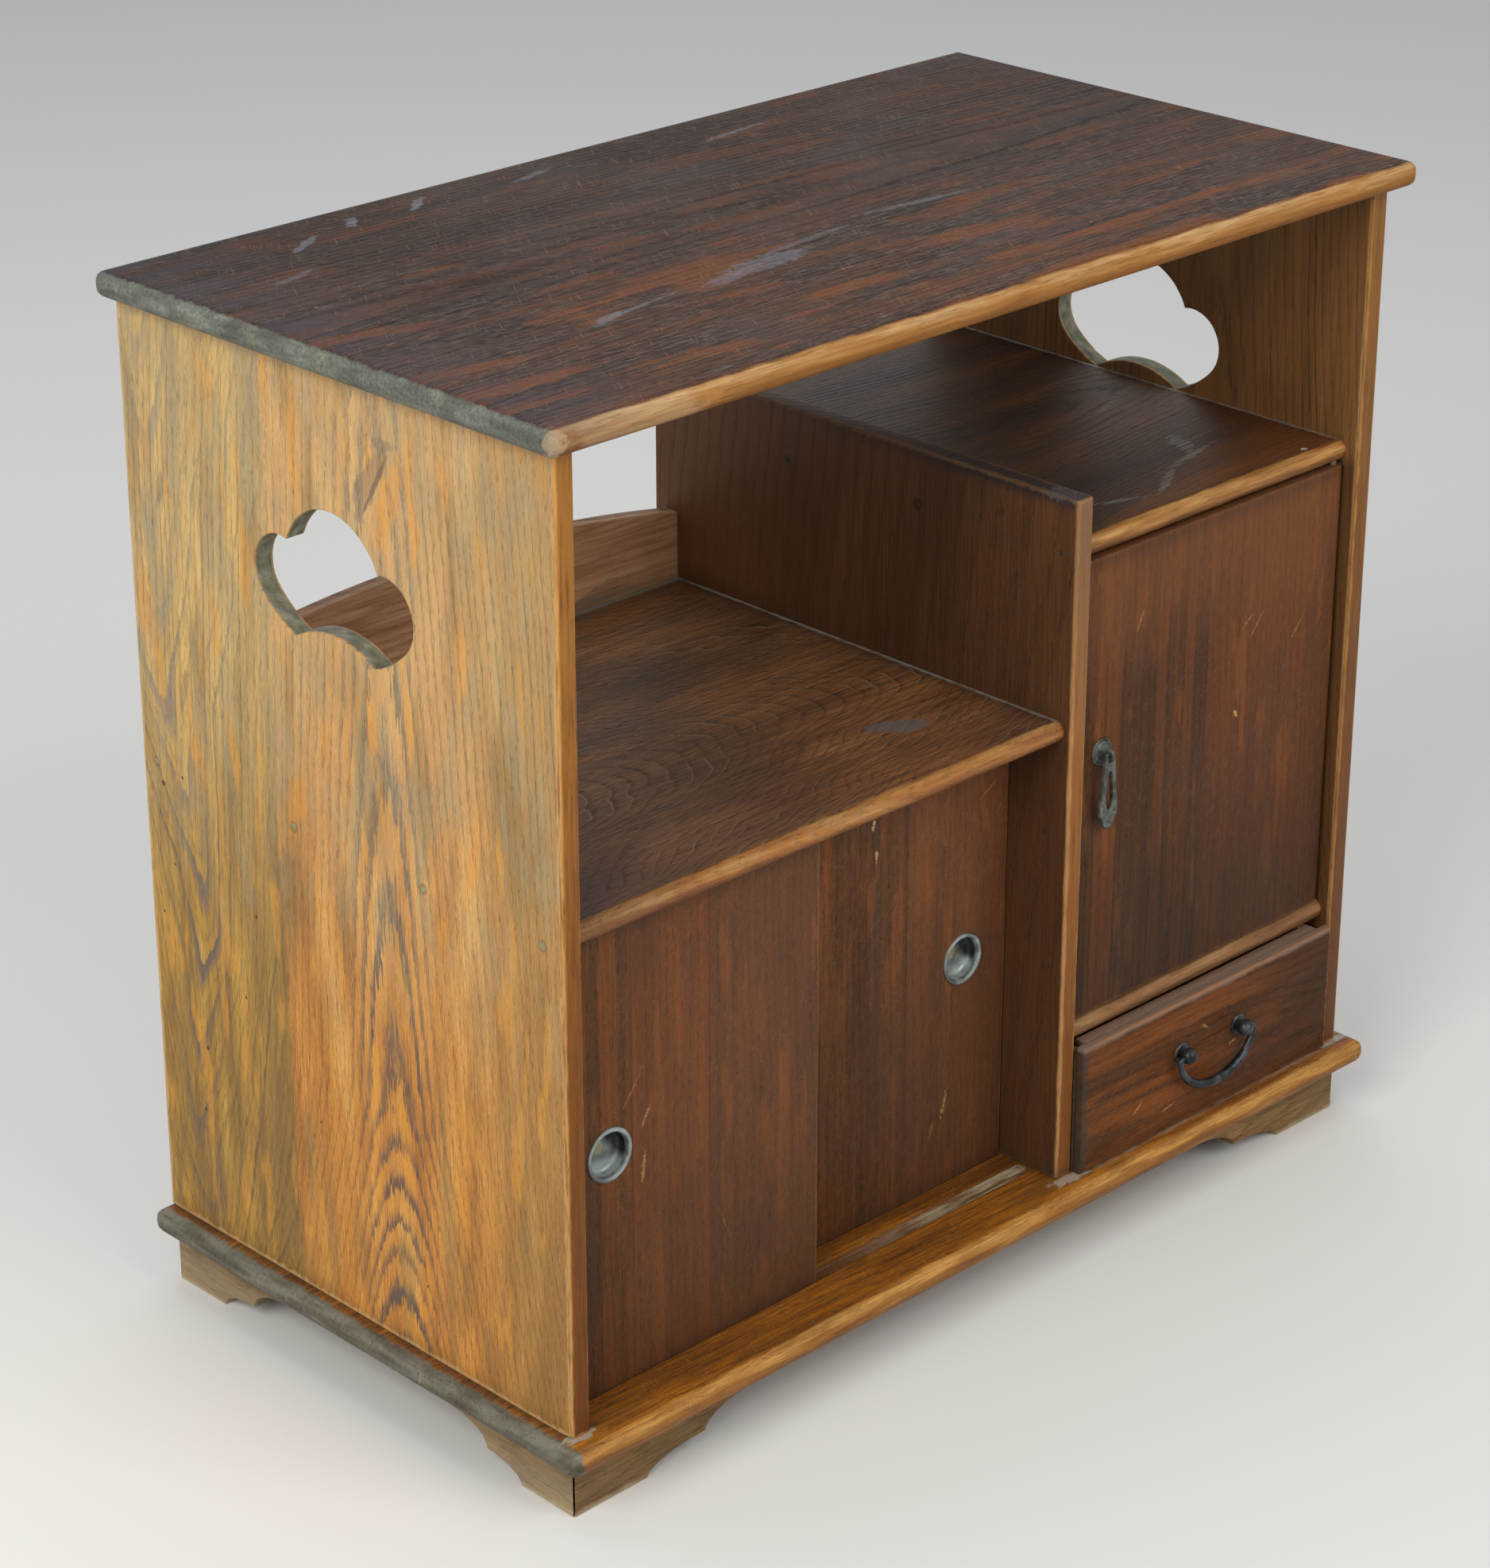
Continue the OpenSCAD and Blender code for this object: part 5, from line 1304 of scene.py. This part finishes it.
f = door_finish("right_slider_wood", "zxy", 171,
                [(212, (80, 56, 40), 0.45), (236, (120, 72, 42), 0.5), (266, (96, 60, 38), 0.5)],
                marks=[((196, 214), (2.4, 0.7), 10, (200, 172, 134), 0.9),
                       ((180, 216), (2.6, 0.6), 0, (190, 160, 122), 0.8),
                       ((40, 262), (7, 0.9), 14, (196, 152, 92), 0.8),
                       ((30, 254), (4, 0.6), 20, (180, 136, 84), 0.7),
                       ((190, 288), (6, 0.4), 60, (160, 114, 70), 0.6)])
f.cover(f.x.fade(176, 158) * 0.3, (60, 40, 26))
slider_finish(f, "right", 173, (190, 60, 0.45, (62, 38, 24)), 8, (136, 88, 48))

# %% [markdown]
# ## Round finger pulls
# A finger pull is a cup of thin sheet metal with a rolled rim. A torus and two cylinders would
# show seams, so its whole section is spun about one axis, like work on a lathe: round the rim,
# down the wall, across the bottom, and back up the outside.

# %% Finger pulls
def finger_pull(side):
    """Spins the section of the cup; y grows from the door's face inwards."""
    node = side + "_finger_pull"
    face = span(node)[0].y + 0.8
    wall = HOLE_R - 0.75
    profile = [(0, CUP_DEEP - 0.7), (wall - 3.2, CUP_DEEP - 0.72)]
    profile += arc((wall - 2.0, CUP_DEEP - 2.7), 2.0, 90, 0, 5)
    profile += [(wall + 0.02, 1.0), (wall + 0.05, 0.35)]
    for k in range(9):
        a = math.radians(180 - 22.5 * k)
        profile.append((CUP_R - 1.15 + 1.15 * math.cos(a), -0.12 - 0.66 * math.sin(a)))
    profile += [(CUP_R - 0.1, -0.02), (HOLE_R - 0.05, 0.0), (HOLE_R - 0.05, CUP_DEEP - 1.6)]
    profile += [(HOLE_R - 0.7, CUP_DEEP - 0.4), (HOLE_R - 2.2, CUP_DEEP), (0, CUP_DEEP)]
    return turned(node + "_spun", profile, (CUP_X[side], face, CUP_Z), 72)


pulls = {side: finger_pull(side) for side in CUP_X}
print("finger pull:", len(pulls["left"].data.polygons), "faces")

# %% [markdown]
# ## Metal finishes
# The pulls have a grey-green patina that lies unevenly: it has worn thin on the rims, and it is
# darker deep in the cup. Painted shade darkens the cup's upper right wall and the rim's lower left,
# and a painted highlight lightens the lower wall. The drawer's handle is nearly black, with a faint
# blue sheen where it is rubbed. Both are metals with rough oxide over them, so a mask mixes metal
# and matt oxide.

# %% Patina
def patina(name, seed, tones, bright, metal=0.55, rough=0.42, lump=3.0):
    """Aged metal: cloudy oxide over a duller sheen, with pits."""
    f = Finish(name, "xzy")
    cloud = f.noise((lump * 2, lump * 2, lump * 2), seed, 4.0)
    grit = f.noise((0.9, 0.9, 0.9), seed + 1, 2.0)
    f.colour = f.even_ramp(cloud * 0.8 + grit * 0.2, tones, 0.25, 0.5)
    f.cover(grit.fade(0.62, 0.72) * 0.5, [c * 0.5 for c in tones[0]])
    f.cover(f.patch((5, 5, 5), seed + 2, 0.56, 0.66) * 0.35, bright)
    f.rough = grit * 0.2 + cloud * 0.15 + (rough - 0.15)
    plug(f.tree, f.shader.inputs["Metallic"], cloud.fade(0.62, 0.42) * metal)
    f.height = grit * 0.6 + cloud * 0.4
    return f


for side, seed in (("left", 181), ("right", 191)):
    f = patina(side + "_pull_metal", seed, [(84, 88, 82), (114, 120, 114), (142, 150, 145)], (168, 178, 174))
    u, v = f.x - CUP_X[side], f.z - CUP_Z
    deep = f.y - span(side + "_sliding_door")[0].y
    f.cover(deep.fade(3.2, 5.4) * 0.5, (92, 96, 92))
    wall = deep.band(0.9, 1.8, 5.2, 6.4)
    upper_right = u * 0.08 + v * 0.07
    # Painted shade: the cup's upper right wall is painted nearly black.
    f.cover(wall * upper_right.fade(0.15, 0.65) * 0.95, (22, 24, 22))
    # Painted highlight: the cup's lower wall, which faces up, is painted pale.
    f.cover(wall * v.fade(-2.0, -7.0) * 0.55, (166, 178, 178))
    dull = f.spot((CUP_X[side] - 1.5, CUP_Z + 2.0), (3.2, 3.6), 30, 0.5, 3, 4)
    f.cover(dull * deep.fade(4.2, 5.2) * 0.6, (146, 142, 96))
    out_r = u.diagonal(v)
    f.cover(out_r.fade(11.9, 12.4) * 0.6, (84, 74, 60))
    f.cover(out_r.band(10.4, 11.0, 11.6, 12.2) * 0.5, (164, 178, 184))
    # Painted shade: the rim is darker on its lower left side.
    f.cover(out_r.fade(10.2, 10.8) * upper_right.fade(-0.5, -1.3) * 0.7, (62, 58, 52))
    dress(pulls[side], f.done(0.05, 0.5), side + "_slider", side + "_finger_pull")

# %% [markdown]
# ## Pivoting door and its pull
# The door over the drawer turns on two pins, so its hinge edge is rounded. Its section is lofted
# upwards. The pull is a split pin through a domed rosette, and a flat six-sided drop with a slot
# that hangs in the pin's eye and swings on its own joint.

# %% Pivoting door
PULL_X, PULL_Z = 326.3, 206.0
door = upright_board("pivoting_door", [0.5, 4.5, 4.5, 0.5], [0.8, 0, 0, 0.4], 47.0, 0.5)
f = door_finish("pivoting_door_wood", "zxy", 201,
                [(338, (74, 48, 32), 0.4), (398, (112, 62, 30), 0.4), (420, (96, 56, 30), 0.4),
                 (470, (80, 50, 32), 0.45)],
                tones=[(48, 28, 14), (62, 35, 16), (74, 41, 17), (90, 51, 22)],
                marks=[((236, 432), (7, 0.4), 40, (170, 122, 74), 0.7),
                       ((240, 426), (4, 0.4), 52, (170, 122, 74), 0.7),
                       ((196, 420), (2.4, 0.7), -30, (196, 150, 100), 0.9),
                       ((262, 350), (5, 0.5), 25, (180, 132, 80), 0.8),
                       ((226, 462), (5, 0.4), 40, (170, 122, 74), 0.6)], line=0.22)
f.cover(f.drift(f.z, 80).fade(190, 90) * 0.6, (44, 32, 24))
f.cover(f.drift(f.z, 50).fade(220, 280) * 0.5, (116, 72, 40))
f.cover(f.arris("pivoting_door", 1.8, 203) * 0.25, (134, 90, 50))
f.cover(f.z.fade(289, 297) * 0.4, (56, 40, 32))
# Painted shadow: a dark band on the door where the drop hangs.
f.cover(f.x.away(PULL_X).fade(8, 3) * f.z.band(164, 174, 206, 214) * 0.6, (42, 30, 24))
dress(door, f.done(0.3, 0.12), "swing_door", "pivoting_door")

# %% Door pull
PULL_Y = span("door_pull_drop")[0].y + 1.1
DOOR_FACE = span("pivoting_door")[0].y


def joined(piece, *others):
    """Puts several closed shells in one object."""
    shell = bmesh.new()
    for part in (piece,) + others:
        shell.from_mesh(part.data)
    shell.to_mesh(piece.data)
    shell.free()
    for part in others:
        bpy.data.objects.remove(part)
    return piece


def mirrored(half):
    """A closed outline from its right half, which runs from top to bottom."""
    return [(-u, v, r) for u, v, r in half] + [(u, v, r) for u, v, r in reversed(half)]


rosette_profile = [(0, 2.0)]
for k in range(11):
    a = math.radians(9 * k)
    rosette_profile.append((5.2 * math.sin(a), 2.0 - 0.35 - 1.65 * math.cos(a)))
rosette_profile += [(5.5, 1.5), (5.9, 1.25), (6.35, 1.4), (6.5, 1.7), (6.5, 2.0)]
rosette = turned("door_pull_rosette_spun", rosette_profile, (PULL_X, DOOR_FACE - 2.0, PULL_Z), 48)

cheek = [(1.4, -3.6, 0.3), (1.4, -1.6, 0.3), (1.4, 0.6, 0.3), (2.0, 1.15, 0.3), (2.7, 0.7, 0.35),
         (3.0, -0.4, 0.4), (3.5, -5.5, 0.5), (4.3, -14.0, 0.55), (5.1, -21.5, 0.55), (5.6, -25.2, 0.5),
         (5.55, -28.4, 0.5), (4.7, -30.6, 0.5), (3.6, -31.3, 0.5), (3.3, -32.6, 0.5), (2.9, -34.4, 0.5),
         (1.7, -35.7, 0.5), (0.9, -35.95, 0.45)]
slot_half = [(0.8, -8.0, 0.35), (1.5, -9.2, 0.35), (1.9, -14.0, 0.35), (2.3, -19.5, 0.35),
             (2.35, -22.8, 0.35), (1.4, -25.6, 0.35), (0.5, -26.8, 0.35)]
slot = list(reversed(mirrored(slot_half)))
drop = cut_board("door_pull_drop_filed", [mirrored(cheek), slot], 2.2,
                 lambda u, v, w: (PULL_X + u, PULL_Y - 1.1 + w, PULL_Z + v), steps=3, guard=0.12)
bar_path = [(x, 0.0, 0.9) for x in (-1.9, -0.9, 0.0, 0.9, 1.9)]
drop = joined(drop, bent("drop_bar", bar_path, (PULL_X, PULL_Y, PULL_Z), 16))
print("drop:", len(drop.data.polygons), "faces")

pull_tones = [(48, 50, 46), (70, 73, 68), (100, 104, 97)]
pull_metal = patina("pull_metal", 211, pull_tones, (132, 136, 128)).done(0.06, 0.5)
dress(rosette, pull_metal, "swing_door", "door_pull_rosette")
dress(drop, pull_metal, "door_drop", "door_pull_drop")

# %% [markdown]
# ## Drawer
# The drawer front stands 2 mm proud of the carcass, and its arrises are rubbed more than those
# of the doors. Behind it is a thick tongue between the drawer's sides. Its grain runs from left to
# right, dust lies on its top edge, and its left end has gone grey.

# %% Drawer front
LIP = 5.0
POST_Z, POST_HALF = 38.0, 20.5
front_low, front_high = span("drawer_front")
HANDLE_X = (front_low.x + front_high.x) / 2
side_high = span("drawer_left_side")[1]
bottom_high = span("drawer_bottom")[1]
border = front_border(front_low, front_high, 5.0, lambda u, v: 0.7 + 1.1 * rub(u + v, 51.0))
drawer_front = cut_board("drawer_front_worn", [border], LIP, lambda u, v, w: (u, front_low.y + w, v))
tongue_rings = []
for x in (side_high.x + 0.02, front_high.x - 6.02):
    tongue = section(front_low.y + LIP - 0.5, front_high.y, bottom_high.z, front_high.z - 0.3, [0.2] * 4)
    tongue_rings.append([(x, y, z) for y, z in tongue])
drawer_front = joined(drawer_front, loft("tongue", tongue_rings))

f = door_finish("drawer_wood", "xzy", 221, [],
                tones=[(68, 36, 12), (86, 46, 14), (99, 53, 17), (116, 64, 22)],
                marks=[((352, 20), (3, 0.6), 30, (180, 124, 70), 0.8),
                       ((420, 30), (2, 0.6), 10, (190, 146, 98), 0.8),
                       ((398, 46), (3, 0.5), -35, (180, 130, 80), 0.7),
                       ((374, 12), (4, 0.5), 12, (170, 116, 66), 0.7)],
                crest=12, heart=30, spacing=4.0, taper=0.05, sway=9, line=0.35, blotch=(90, 14))
f.cover(f.x.fade(400, 480) * 0.6, (44, 29, 20))
f.cover((f.x + (f.noise((4, 12, 4), 223, 3.0) - 0.5) * 5).fade(317.0, 313.6) * 0.75, (58, 54, 48))
f.cover((f.z + (f.noise((14, 4, 4), 225, 3.0) - 0.5) * 3).fade(61.5, 64.0) * 0.7, (132, 112, 98))
f.cover(f.arris("drawer_front", 2.0, 227) * f.x.fade(316, 322) * 0.45, (156, 104, 66))
f.cover(f.z.fade(4.5, 1.0) * 0.4, (70, 46, 32))
for side in (-1, 1):
    ring = f.spot((HANDLE_X + side * POST_HALF, POST_Z), (8.5, 8.5), 0, 0.3, 3 + side, 5)
    f.cover(ring * 0.35, (62, 44, 34))
dress(drawer_front, f.done(0.3, 0.12), "drawer", "drawer_front")

# %% [markdown]
# ## Drawer handle
# Two posts with round heads hold a bail that is thin at its ends and thick in the middle. The
# posts are turned on the lathe helper. The bail is one round bar along half an ellipse, with a
# tight bend at each end that goes into its post.

# %% Posts and bail
HANDLE_Y = front_low.y - 5.0


def post(name, x):
    """A post from the tip of its head to the washer behind the drawer front."""
    profile = arc((0, 0), 4.0, -90, 42, 11)
    profile += [(2.6, 3.2), (2.6, 3.55), (3.4, 3.75), (4.6, 3.85), (4.95, 4.2), (5.0, 4.9), (1.6, 5.0)]
    profile += [(1.6, 15.9), (4.0, 16.0), (4.0, 17.0), (3.7, 17.2), (0.0, 17.2)]
    return turned(name, profile, (x, HANDLE_Y, POST_Z), 40)


posts = joined(post("drawer_handle_posts_turned", HANDLE_X - POST_HALF), post("post", HANDLE_X + POST_HALF))

BAIL_HALF, BAIL_DROP = 26.6, 20.0
half_path = [(18.4, 0.0, 1.15), (21.5, 0.0, 1.15), (24.3, 0.0, 1.2)]
bend = arc((24.5, -2.1), 2.1, 90, 0, 5)
half_path += [(x, z, 1.25 + 0.06 * k) for k, (x, z) in enumerate(bend) if k]
for k in range(1, 29):
    a = math.radians(84.0 * (1 - k / 28))
    thick = 1.45 + 0.95 * math.cos(a) ** 1.4
    half_path.append((BAIL_HALF * math.sin(a), -BAIL_DROP * math.cos(a), thick))
bail_path = half_path + [(-x, z, r) for x, z, r in reversed(half_path[:-1])]
bail = bent("drawer_bail_forged", bail_path, (HANDLE_X, HANDLE_Y, POST_Z), 24)

f = patina("dark_iron", 231, [(20, 21, 22), (30, 33, 36), (46, 52, 58)], (74, 86, 96), 0.6, 0.32, 4.0)
f.cover(f.y.fade(-3.4, -2.4) * f.patch((3, 3, 3), 233, 0.4, 0.6) * 0.6, (126, 114, 92))
dark_iron = f.done(0.05, 0.5)
dress(posts, dark_iron, "drawer", "drawer_handle_posts")
dress(bail, dark_iron, "bail", "drawer_bail")
print("bail:", len(bail.data.polygons), "faces")

# %% [markdown]
# ## Pegs and nails with Geometry Nodes
# The boards are held by some fifty wooden pegs, and the back boards by nails. They all have one
# shape and differ a little in width, so Geometry Nodes place them: a point stands for each peg,
# and the tree puts a cylinder with a domed head on it. The tree ends in Realize
# Instances and Set Material, and its result becomes a plain mesh.

# %% A tree that sets pegs on points
def peg_tree():
    """Builds the tree; its inputs are named for a peg's sizes."""
    tree = bpy.data.node_groups.new("set_pegs", "GeometryNodeTree")
    keys = {}
    for name, kind in (("Places", "Geometry"), ("Radius", "Float"), ("Length", "Float"), ("Dome", "Float"),
                       ("Lay", "Vector"), ("Seed", "Int"), ("Finish", "Material")):
        socket = tree.interface.new_socket(name, in_out="INPUT", socket_type="NodeSocket" + kind)
        keys[name] = socket.identifier
    tree.interface.new_socket("Pegs", in_out="OUTPUT", socket_type="NodeSocketGeometry")

    def add(kind, **inputs):
        return add_node(tree, "GeometryNode" + kind, **inputs)

    def lift(**inputs):
        return add_node(tree, "ShaderNodeCombineXYZ", **inputs).outputs[0]

    given = tree.nodes.new("NodeGroupInput").outputs
    rod = add("MeshCylinder", Vertices=20, Side_Segments=1, Fill_Segments=4,
              Radius=given["Radius"], Depth=given["Length"])
    rod.fill_type = "TRIANGLE_FAN"
    parts = add_node(tree, "ShaderNodeSeparateXYZ", Vector=add("InputPosition").outputs[0])
    x, y, z = [Field(tree, parts.outputs[i]) for i in range(3)]
    share = x.diagonal(y) / Field(tree, given["Radius"])
    rise = (share * share).less_from(1.0) * Field(tree, given["Dome"])
    head = add("SetPosition", Geometry=rod.outputs["Mesh"], Selection=z.math("GREATER_THAN", 0.0),
               Offset=lift(Z=rise))
    sunk = add("Transform", Geometry=head.outputs[0],
               Translation=lift(Z=Field(tree, given["Length"]) * -0.5))
    size = add_node(tree, "FunctionNodeRandomValue", Seed=given["Seed"])
    size.data_type = "FLOAT"
    size.inputs[2].default_value = 0.93
    size.inputs[3].default_value = 1.0
    spread = add("InstanceOnPoints", Points=given["Places"], Instance=sunk.outputs[0],
                 Rotation=given["Lay"], Scale=lift(X=size.outputs[1], Y=size.outputs[1], Z=1.0))
    real = add("RealizeInstances", Geometry=spread.outputs[0])
    paint = add("SetMaterial", Geometry=real.outputs[0], Material=given["Finish"])
    tree.links.new(paint.outputs[0], tree.nodes.new("NodeGroupOutput").inputs[0])
    return tree, keys


PEG_TREE, PEG_KEYS = peg_tree()
LAYS = {"+z": (0, 0, 0), "-z": (math.pi, 0, 0), "-x": (0, -math.pi / 2, 0), "+x": (0, math.pi / 2, 0),
        "+y": (-math.pi / 2, 0, 0)}


def pegs(name, places, faces_to, radius, length, dome, material, seed):
    """Sets pegs whose heads are at the places and look one way, as a plain mesh object."""
    cloud = bpy.data.meshes.new(name)
    cloud.from_pydata([metres(*p) for p in places], [], [])
    piece = bpy.data.objects.new(name, cloud)
    bpy.context.scene.collection.objects.link(piece)
    grower = piece.modifiers.new("pegs", "NODES")
    grower.node_group = PEG_TREE
    values = {"Radius": radius * MM, "Length": length * MM, "Dome": dome * MM, "Lay": LAYS[faces_to],
              "Seed": seed, "Finish": material}
    for key, value in values.items():
        grower[PEG_KEYS[key]] = value
    bpy.context.view_layer.update()
    ready = piece.evaluated_get(bpy.context.evaluated_depsgraph_get())
    solid = bpy.data.meshes.new_from_object(ready)
    piece.modifiers.clear()
    piece.data = solid
    solid.shade_smooth()
    solid.set_sharp_from_angle(angle=SMOOTH_BELOW)
    return piece


print("peg tree:", len(PEG_TREE.nodes), "nodes")

# %% Pegs
PEG_R = 1.6


def peg_finish(name, speck, lump, seed, share, stops, rough):
    """End grain: a share of fine specks over soft lumps, both sizes in mm."""
    f = Finish(name, "xyz")
    specks = f.noise([speck] * 3, seed, 2.0)
    lumps = f.noise([lump] * 3, seed + 2, 3.0)
    f.colour = f.ramp(lumps * (1 - share) + specks * share, stops)
    f.height = specks
    f.rough = specks * 0.2 + rough
    return f.done(0.12)


def rows(xs, ys, zs):
    """All places with one of the x, one of the z and one of the y."""
    return [(x, y, z) for x in xs for z in zs for y in ys]


peg_wood = peg_finish("peg_end_grain", 0.5, 2.4, 241, 0.3,
                      [(0.3, (106, 96, 70)), (0.5, (138, 126, 96)), (0.7, (168, 154, 122))], 0.5)
stained_peg = peg_finish("stained_peg", 0.6, 2.0, 245, 0.0,
                         [(0.3, (42, 34, 30)), (0.7, (70, 60, 52))], 0.45)

TOP_Z = span("top_board")[1].z
BASE_Z = span("base_board")[0].z
DIVIDER_L, DIVIDER_R = [corner.x for corner in span("divider")]
side_x = (5.0, CARCASS_W - 5.0)
sets = (
    ("top_pegs", stained_peg, 26.0, [(rows(side_x, PANEL_Y, [TOP_Z]), "+z")]),
    ("base_pegs", peg_wood, 26.0, [(rows(side_x + (DIVIDER_L + 5.0,), PANEL_Y, [BASE_Z]), "-z")]),
    ("left_panel_pegs", peg_wood, 24.0, [(rows([0], PANEL_Y, [SHELF_PEG_Z]), "-x")]),
    ("right_panel_pegs", peg_wood, 24.0, [(rows([CARCASS_W], RIGHT_Y, BAY_PEG_Z), "+x")]),
    ("divider_pegs", stained_peg, 24.0, [(rows([DIVIDER_L], MIDDLE_Y, BAY_PEG_Z), "-x"),
                                         (rows([DIVIDER_R], MIDDLE_Y, [SHELF_PEG_Z]), "+x")]),
)
for number, (node, material, length, groups) in enumerate(sets):
    made = [pegs(node + "_set", places, way, PEG_R, length, 0.16, material, 5 + number)
            for places, way in groups]
    dress(joined(*made), material, "carcass", node)

# %% Drawer pegs and nails
def evenly(start, length, count):
    """The middles of equal shares of a length."""
    return [start + length * (k + 0.5) / count for k in range(count)]


peg_x = [corner.x for corner in span("drawer_pegs")]
low_z, high_z = [corner.z for corner in span("drawer_left_side")]
peg_z = [low_z + share * (high_z - low_z) for share in (0.25, 0.75)]
peg_y = (6.0, span("drawer_back")[0].y + 3.0)
made = []
for x, way, seed in zip(peg_x, ("-x", "+x"), (21, 22)):
    places = [(x, y, z) for y in peg_y for z in peg_z]
    made.append(pegs("drawer_pegs_set", places, way, 1.0, 14.0, 0.1, peg_wood, seed))
dress(joined(*made), peg_wood, "drawer", "drawer_pegs")

# nails go into the divider, then into the left shelf, the right shelf and the drawer's ceiling
back_y = span("left_back_board")[1].y
nail_places = [(304.0, back_y, z) for z in evenly(0, 217, 4)]
nail_places += [(309.0, back_y, z) for z in evenly(0, 300, 5)]
nail_places += [(x, back_y, 219.5) for x in evenly(10, 291.5, 5)]
nail_places += [(x, back_y, z) for z in (302.5, 71.0) for x in evenly(311.5, 181.5, 3)]
head_places = [(x, y + 0.32, z) for x, y, z in nail_places]
heads = pegs("nail_heads", head_places, "+y", 1.7, 0.5, 0.18, dark_iron, 31)
shafts = pegs("nail_shafts", nail_places, "+y", 0.8, 12.0, 0.0, dark_iron, 33)
dress(joined(heads, shafts), dark_iron, "carcass", "back_nails")
print("nails:", len(nail_places))

# %% [markdown]
# ## Boards out of sight
# The back boards, the drawer's box, the glue blocks and the door's stop are plain boards, and the
# CAD mesh already has their shape. They keep it, and only get a finish: bare wood that was never
# stained, with its own grain and the dirt of its years, and painted shade in the first 9 mm behind
# the carcass's front. The split pin and the pivots keep their CAD shape too, in the metals of the
# pulls.

# %% Bare wood for the CAD's own meshes
def bare_wood(name, axes, seed, tones, grime, **grain):
    """Unstained softwood, darkened in patches where air and hands reach it, with painted shade in the first 9
    mm behind the carcass's front.
    """
    settings = dict(crest=60, heart=25, spacing=4.0, taper=0.06, sway=9, line=0.5, pore=0.35,
                    fibre=0.3, blotch=(120, 26), rough=0.6)
    settings.update(grain)
    f = wood(name, axes, seed, tones, (104, 78, 54), **settings)
    f.cover(f.patch((160, 16, 16), seed + 41, 0.46, 0.7, 4.0) * grime, (122, 96, 68))
    f.scratches(30, 20, 0.3, seed + 43, 0.22, 0.3, (196, 166, 124))
    # Painted shade: the wood turns nearly black in the first 5 to 9 mm behind the carcass's front.
    f.cover(f.y.fade(9, 5) * 0.85, (50, 38, 28))
    return f.done(0.3, 0.25)


AGED = [(132, 98, 62), (158, 122, 80), (176, 140, 96), (192, 158, 112)]
FRESH = [(158, 126, 84), (178, 146, 100), (194, 164, 118), (208, 180, 134)]
cad_finish = {
    "left_back_board": bare_wood("left_back_wood", "xzy", 251, AGED, 0.6, crest=120),
    "right_back_board": bare_wood("right_back_wood", "zxy", 253, AGED, 0.6, crest=410),
    "foot_blocks": bare_wood("block_wood", "zxy", 255, AGED, 0.6),
    "drawer_left_side": bare_wood("drawer_side_wood", "yzx", 257, FRESH, 0.45, crest=20),
    "drawer_back": bare_wood("drawer_back_wood", "xzy", 259, FRESH, 0.45, crest=20),
    "drawer_bottom": bare_wood("drawer_bottom_wood", "xyz", 261, FRESH, 0.5, crest=130),
    "door_stop": bare_wood("stop_wood", "zxy", 263, [(84, 58, 40), (104, 72, 48), (120, 84, 56)], 0.3),
    "door_pull_pin": pull_metal,
    "door_pivots": dark_iron,
}
cad_finish["drawer_right_side"] = cad_finish["drawer_left_side"]
for node, material in cad_finish.items():
    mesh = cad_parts[node].data
    mesh.materials.clear()
    mesh.materials.append(material)
print("plain nodes:", sorted(cad_finish))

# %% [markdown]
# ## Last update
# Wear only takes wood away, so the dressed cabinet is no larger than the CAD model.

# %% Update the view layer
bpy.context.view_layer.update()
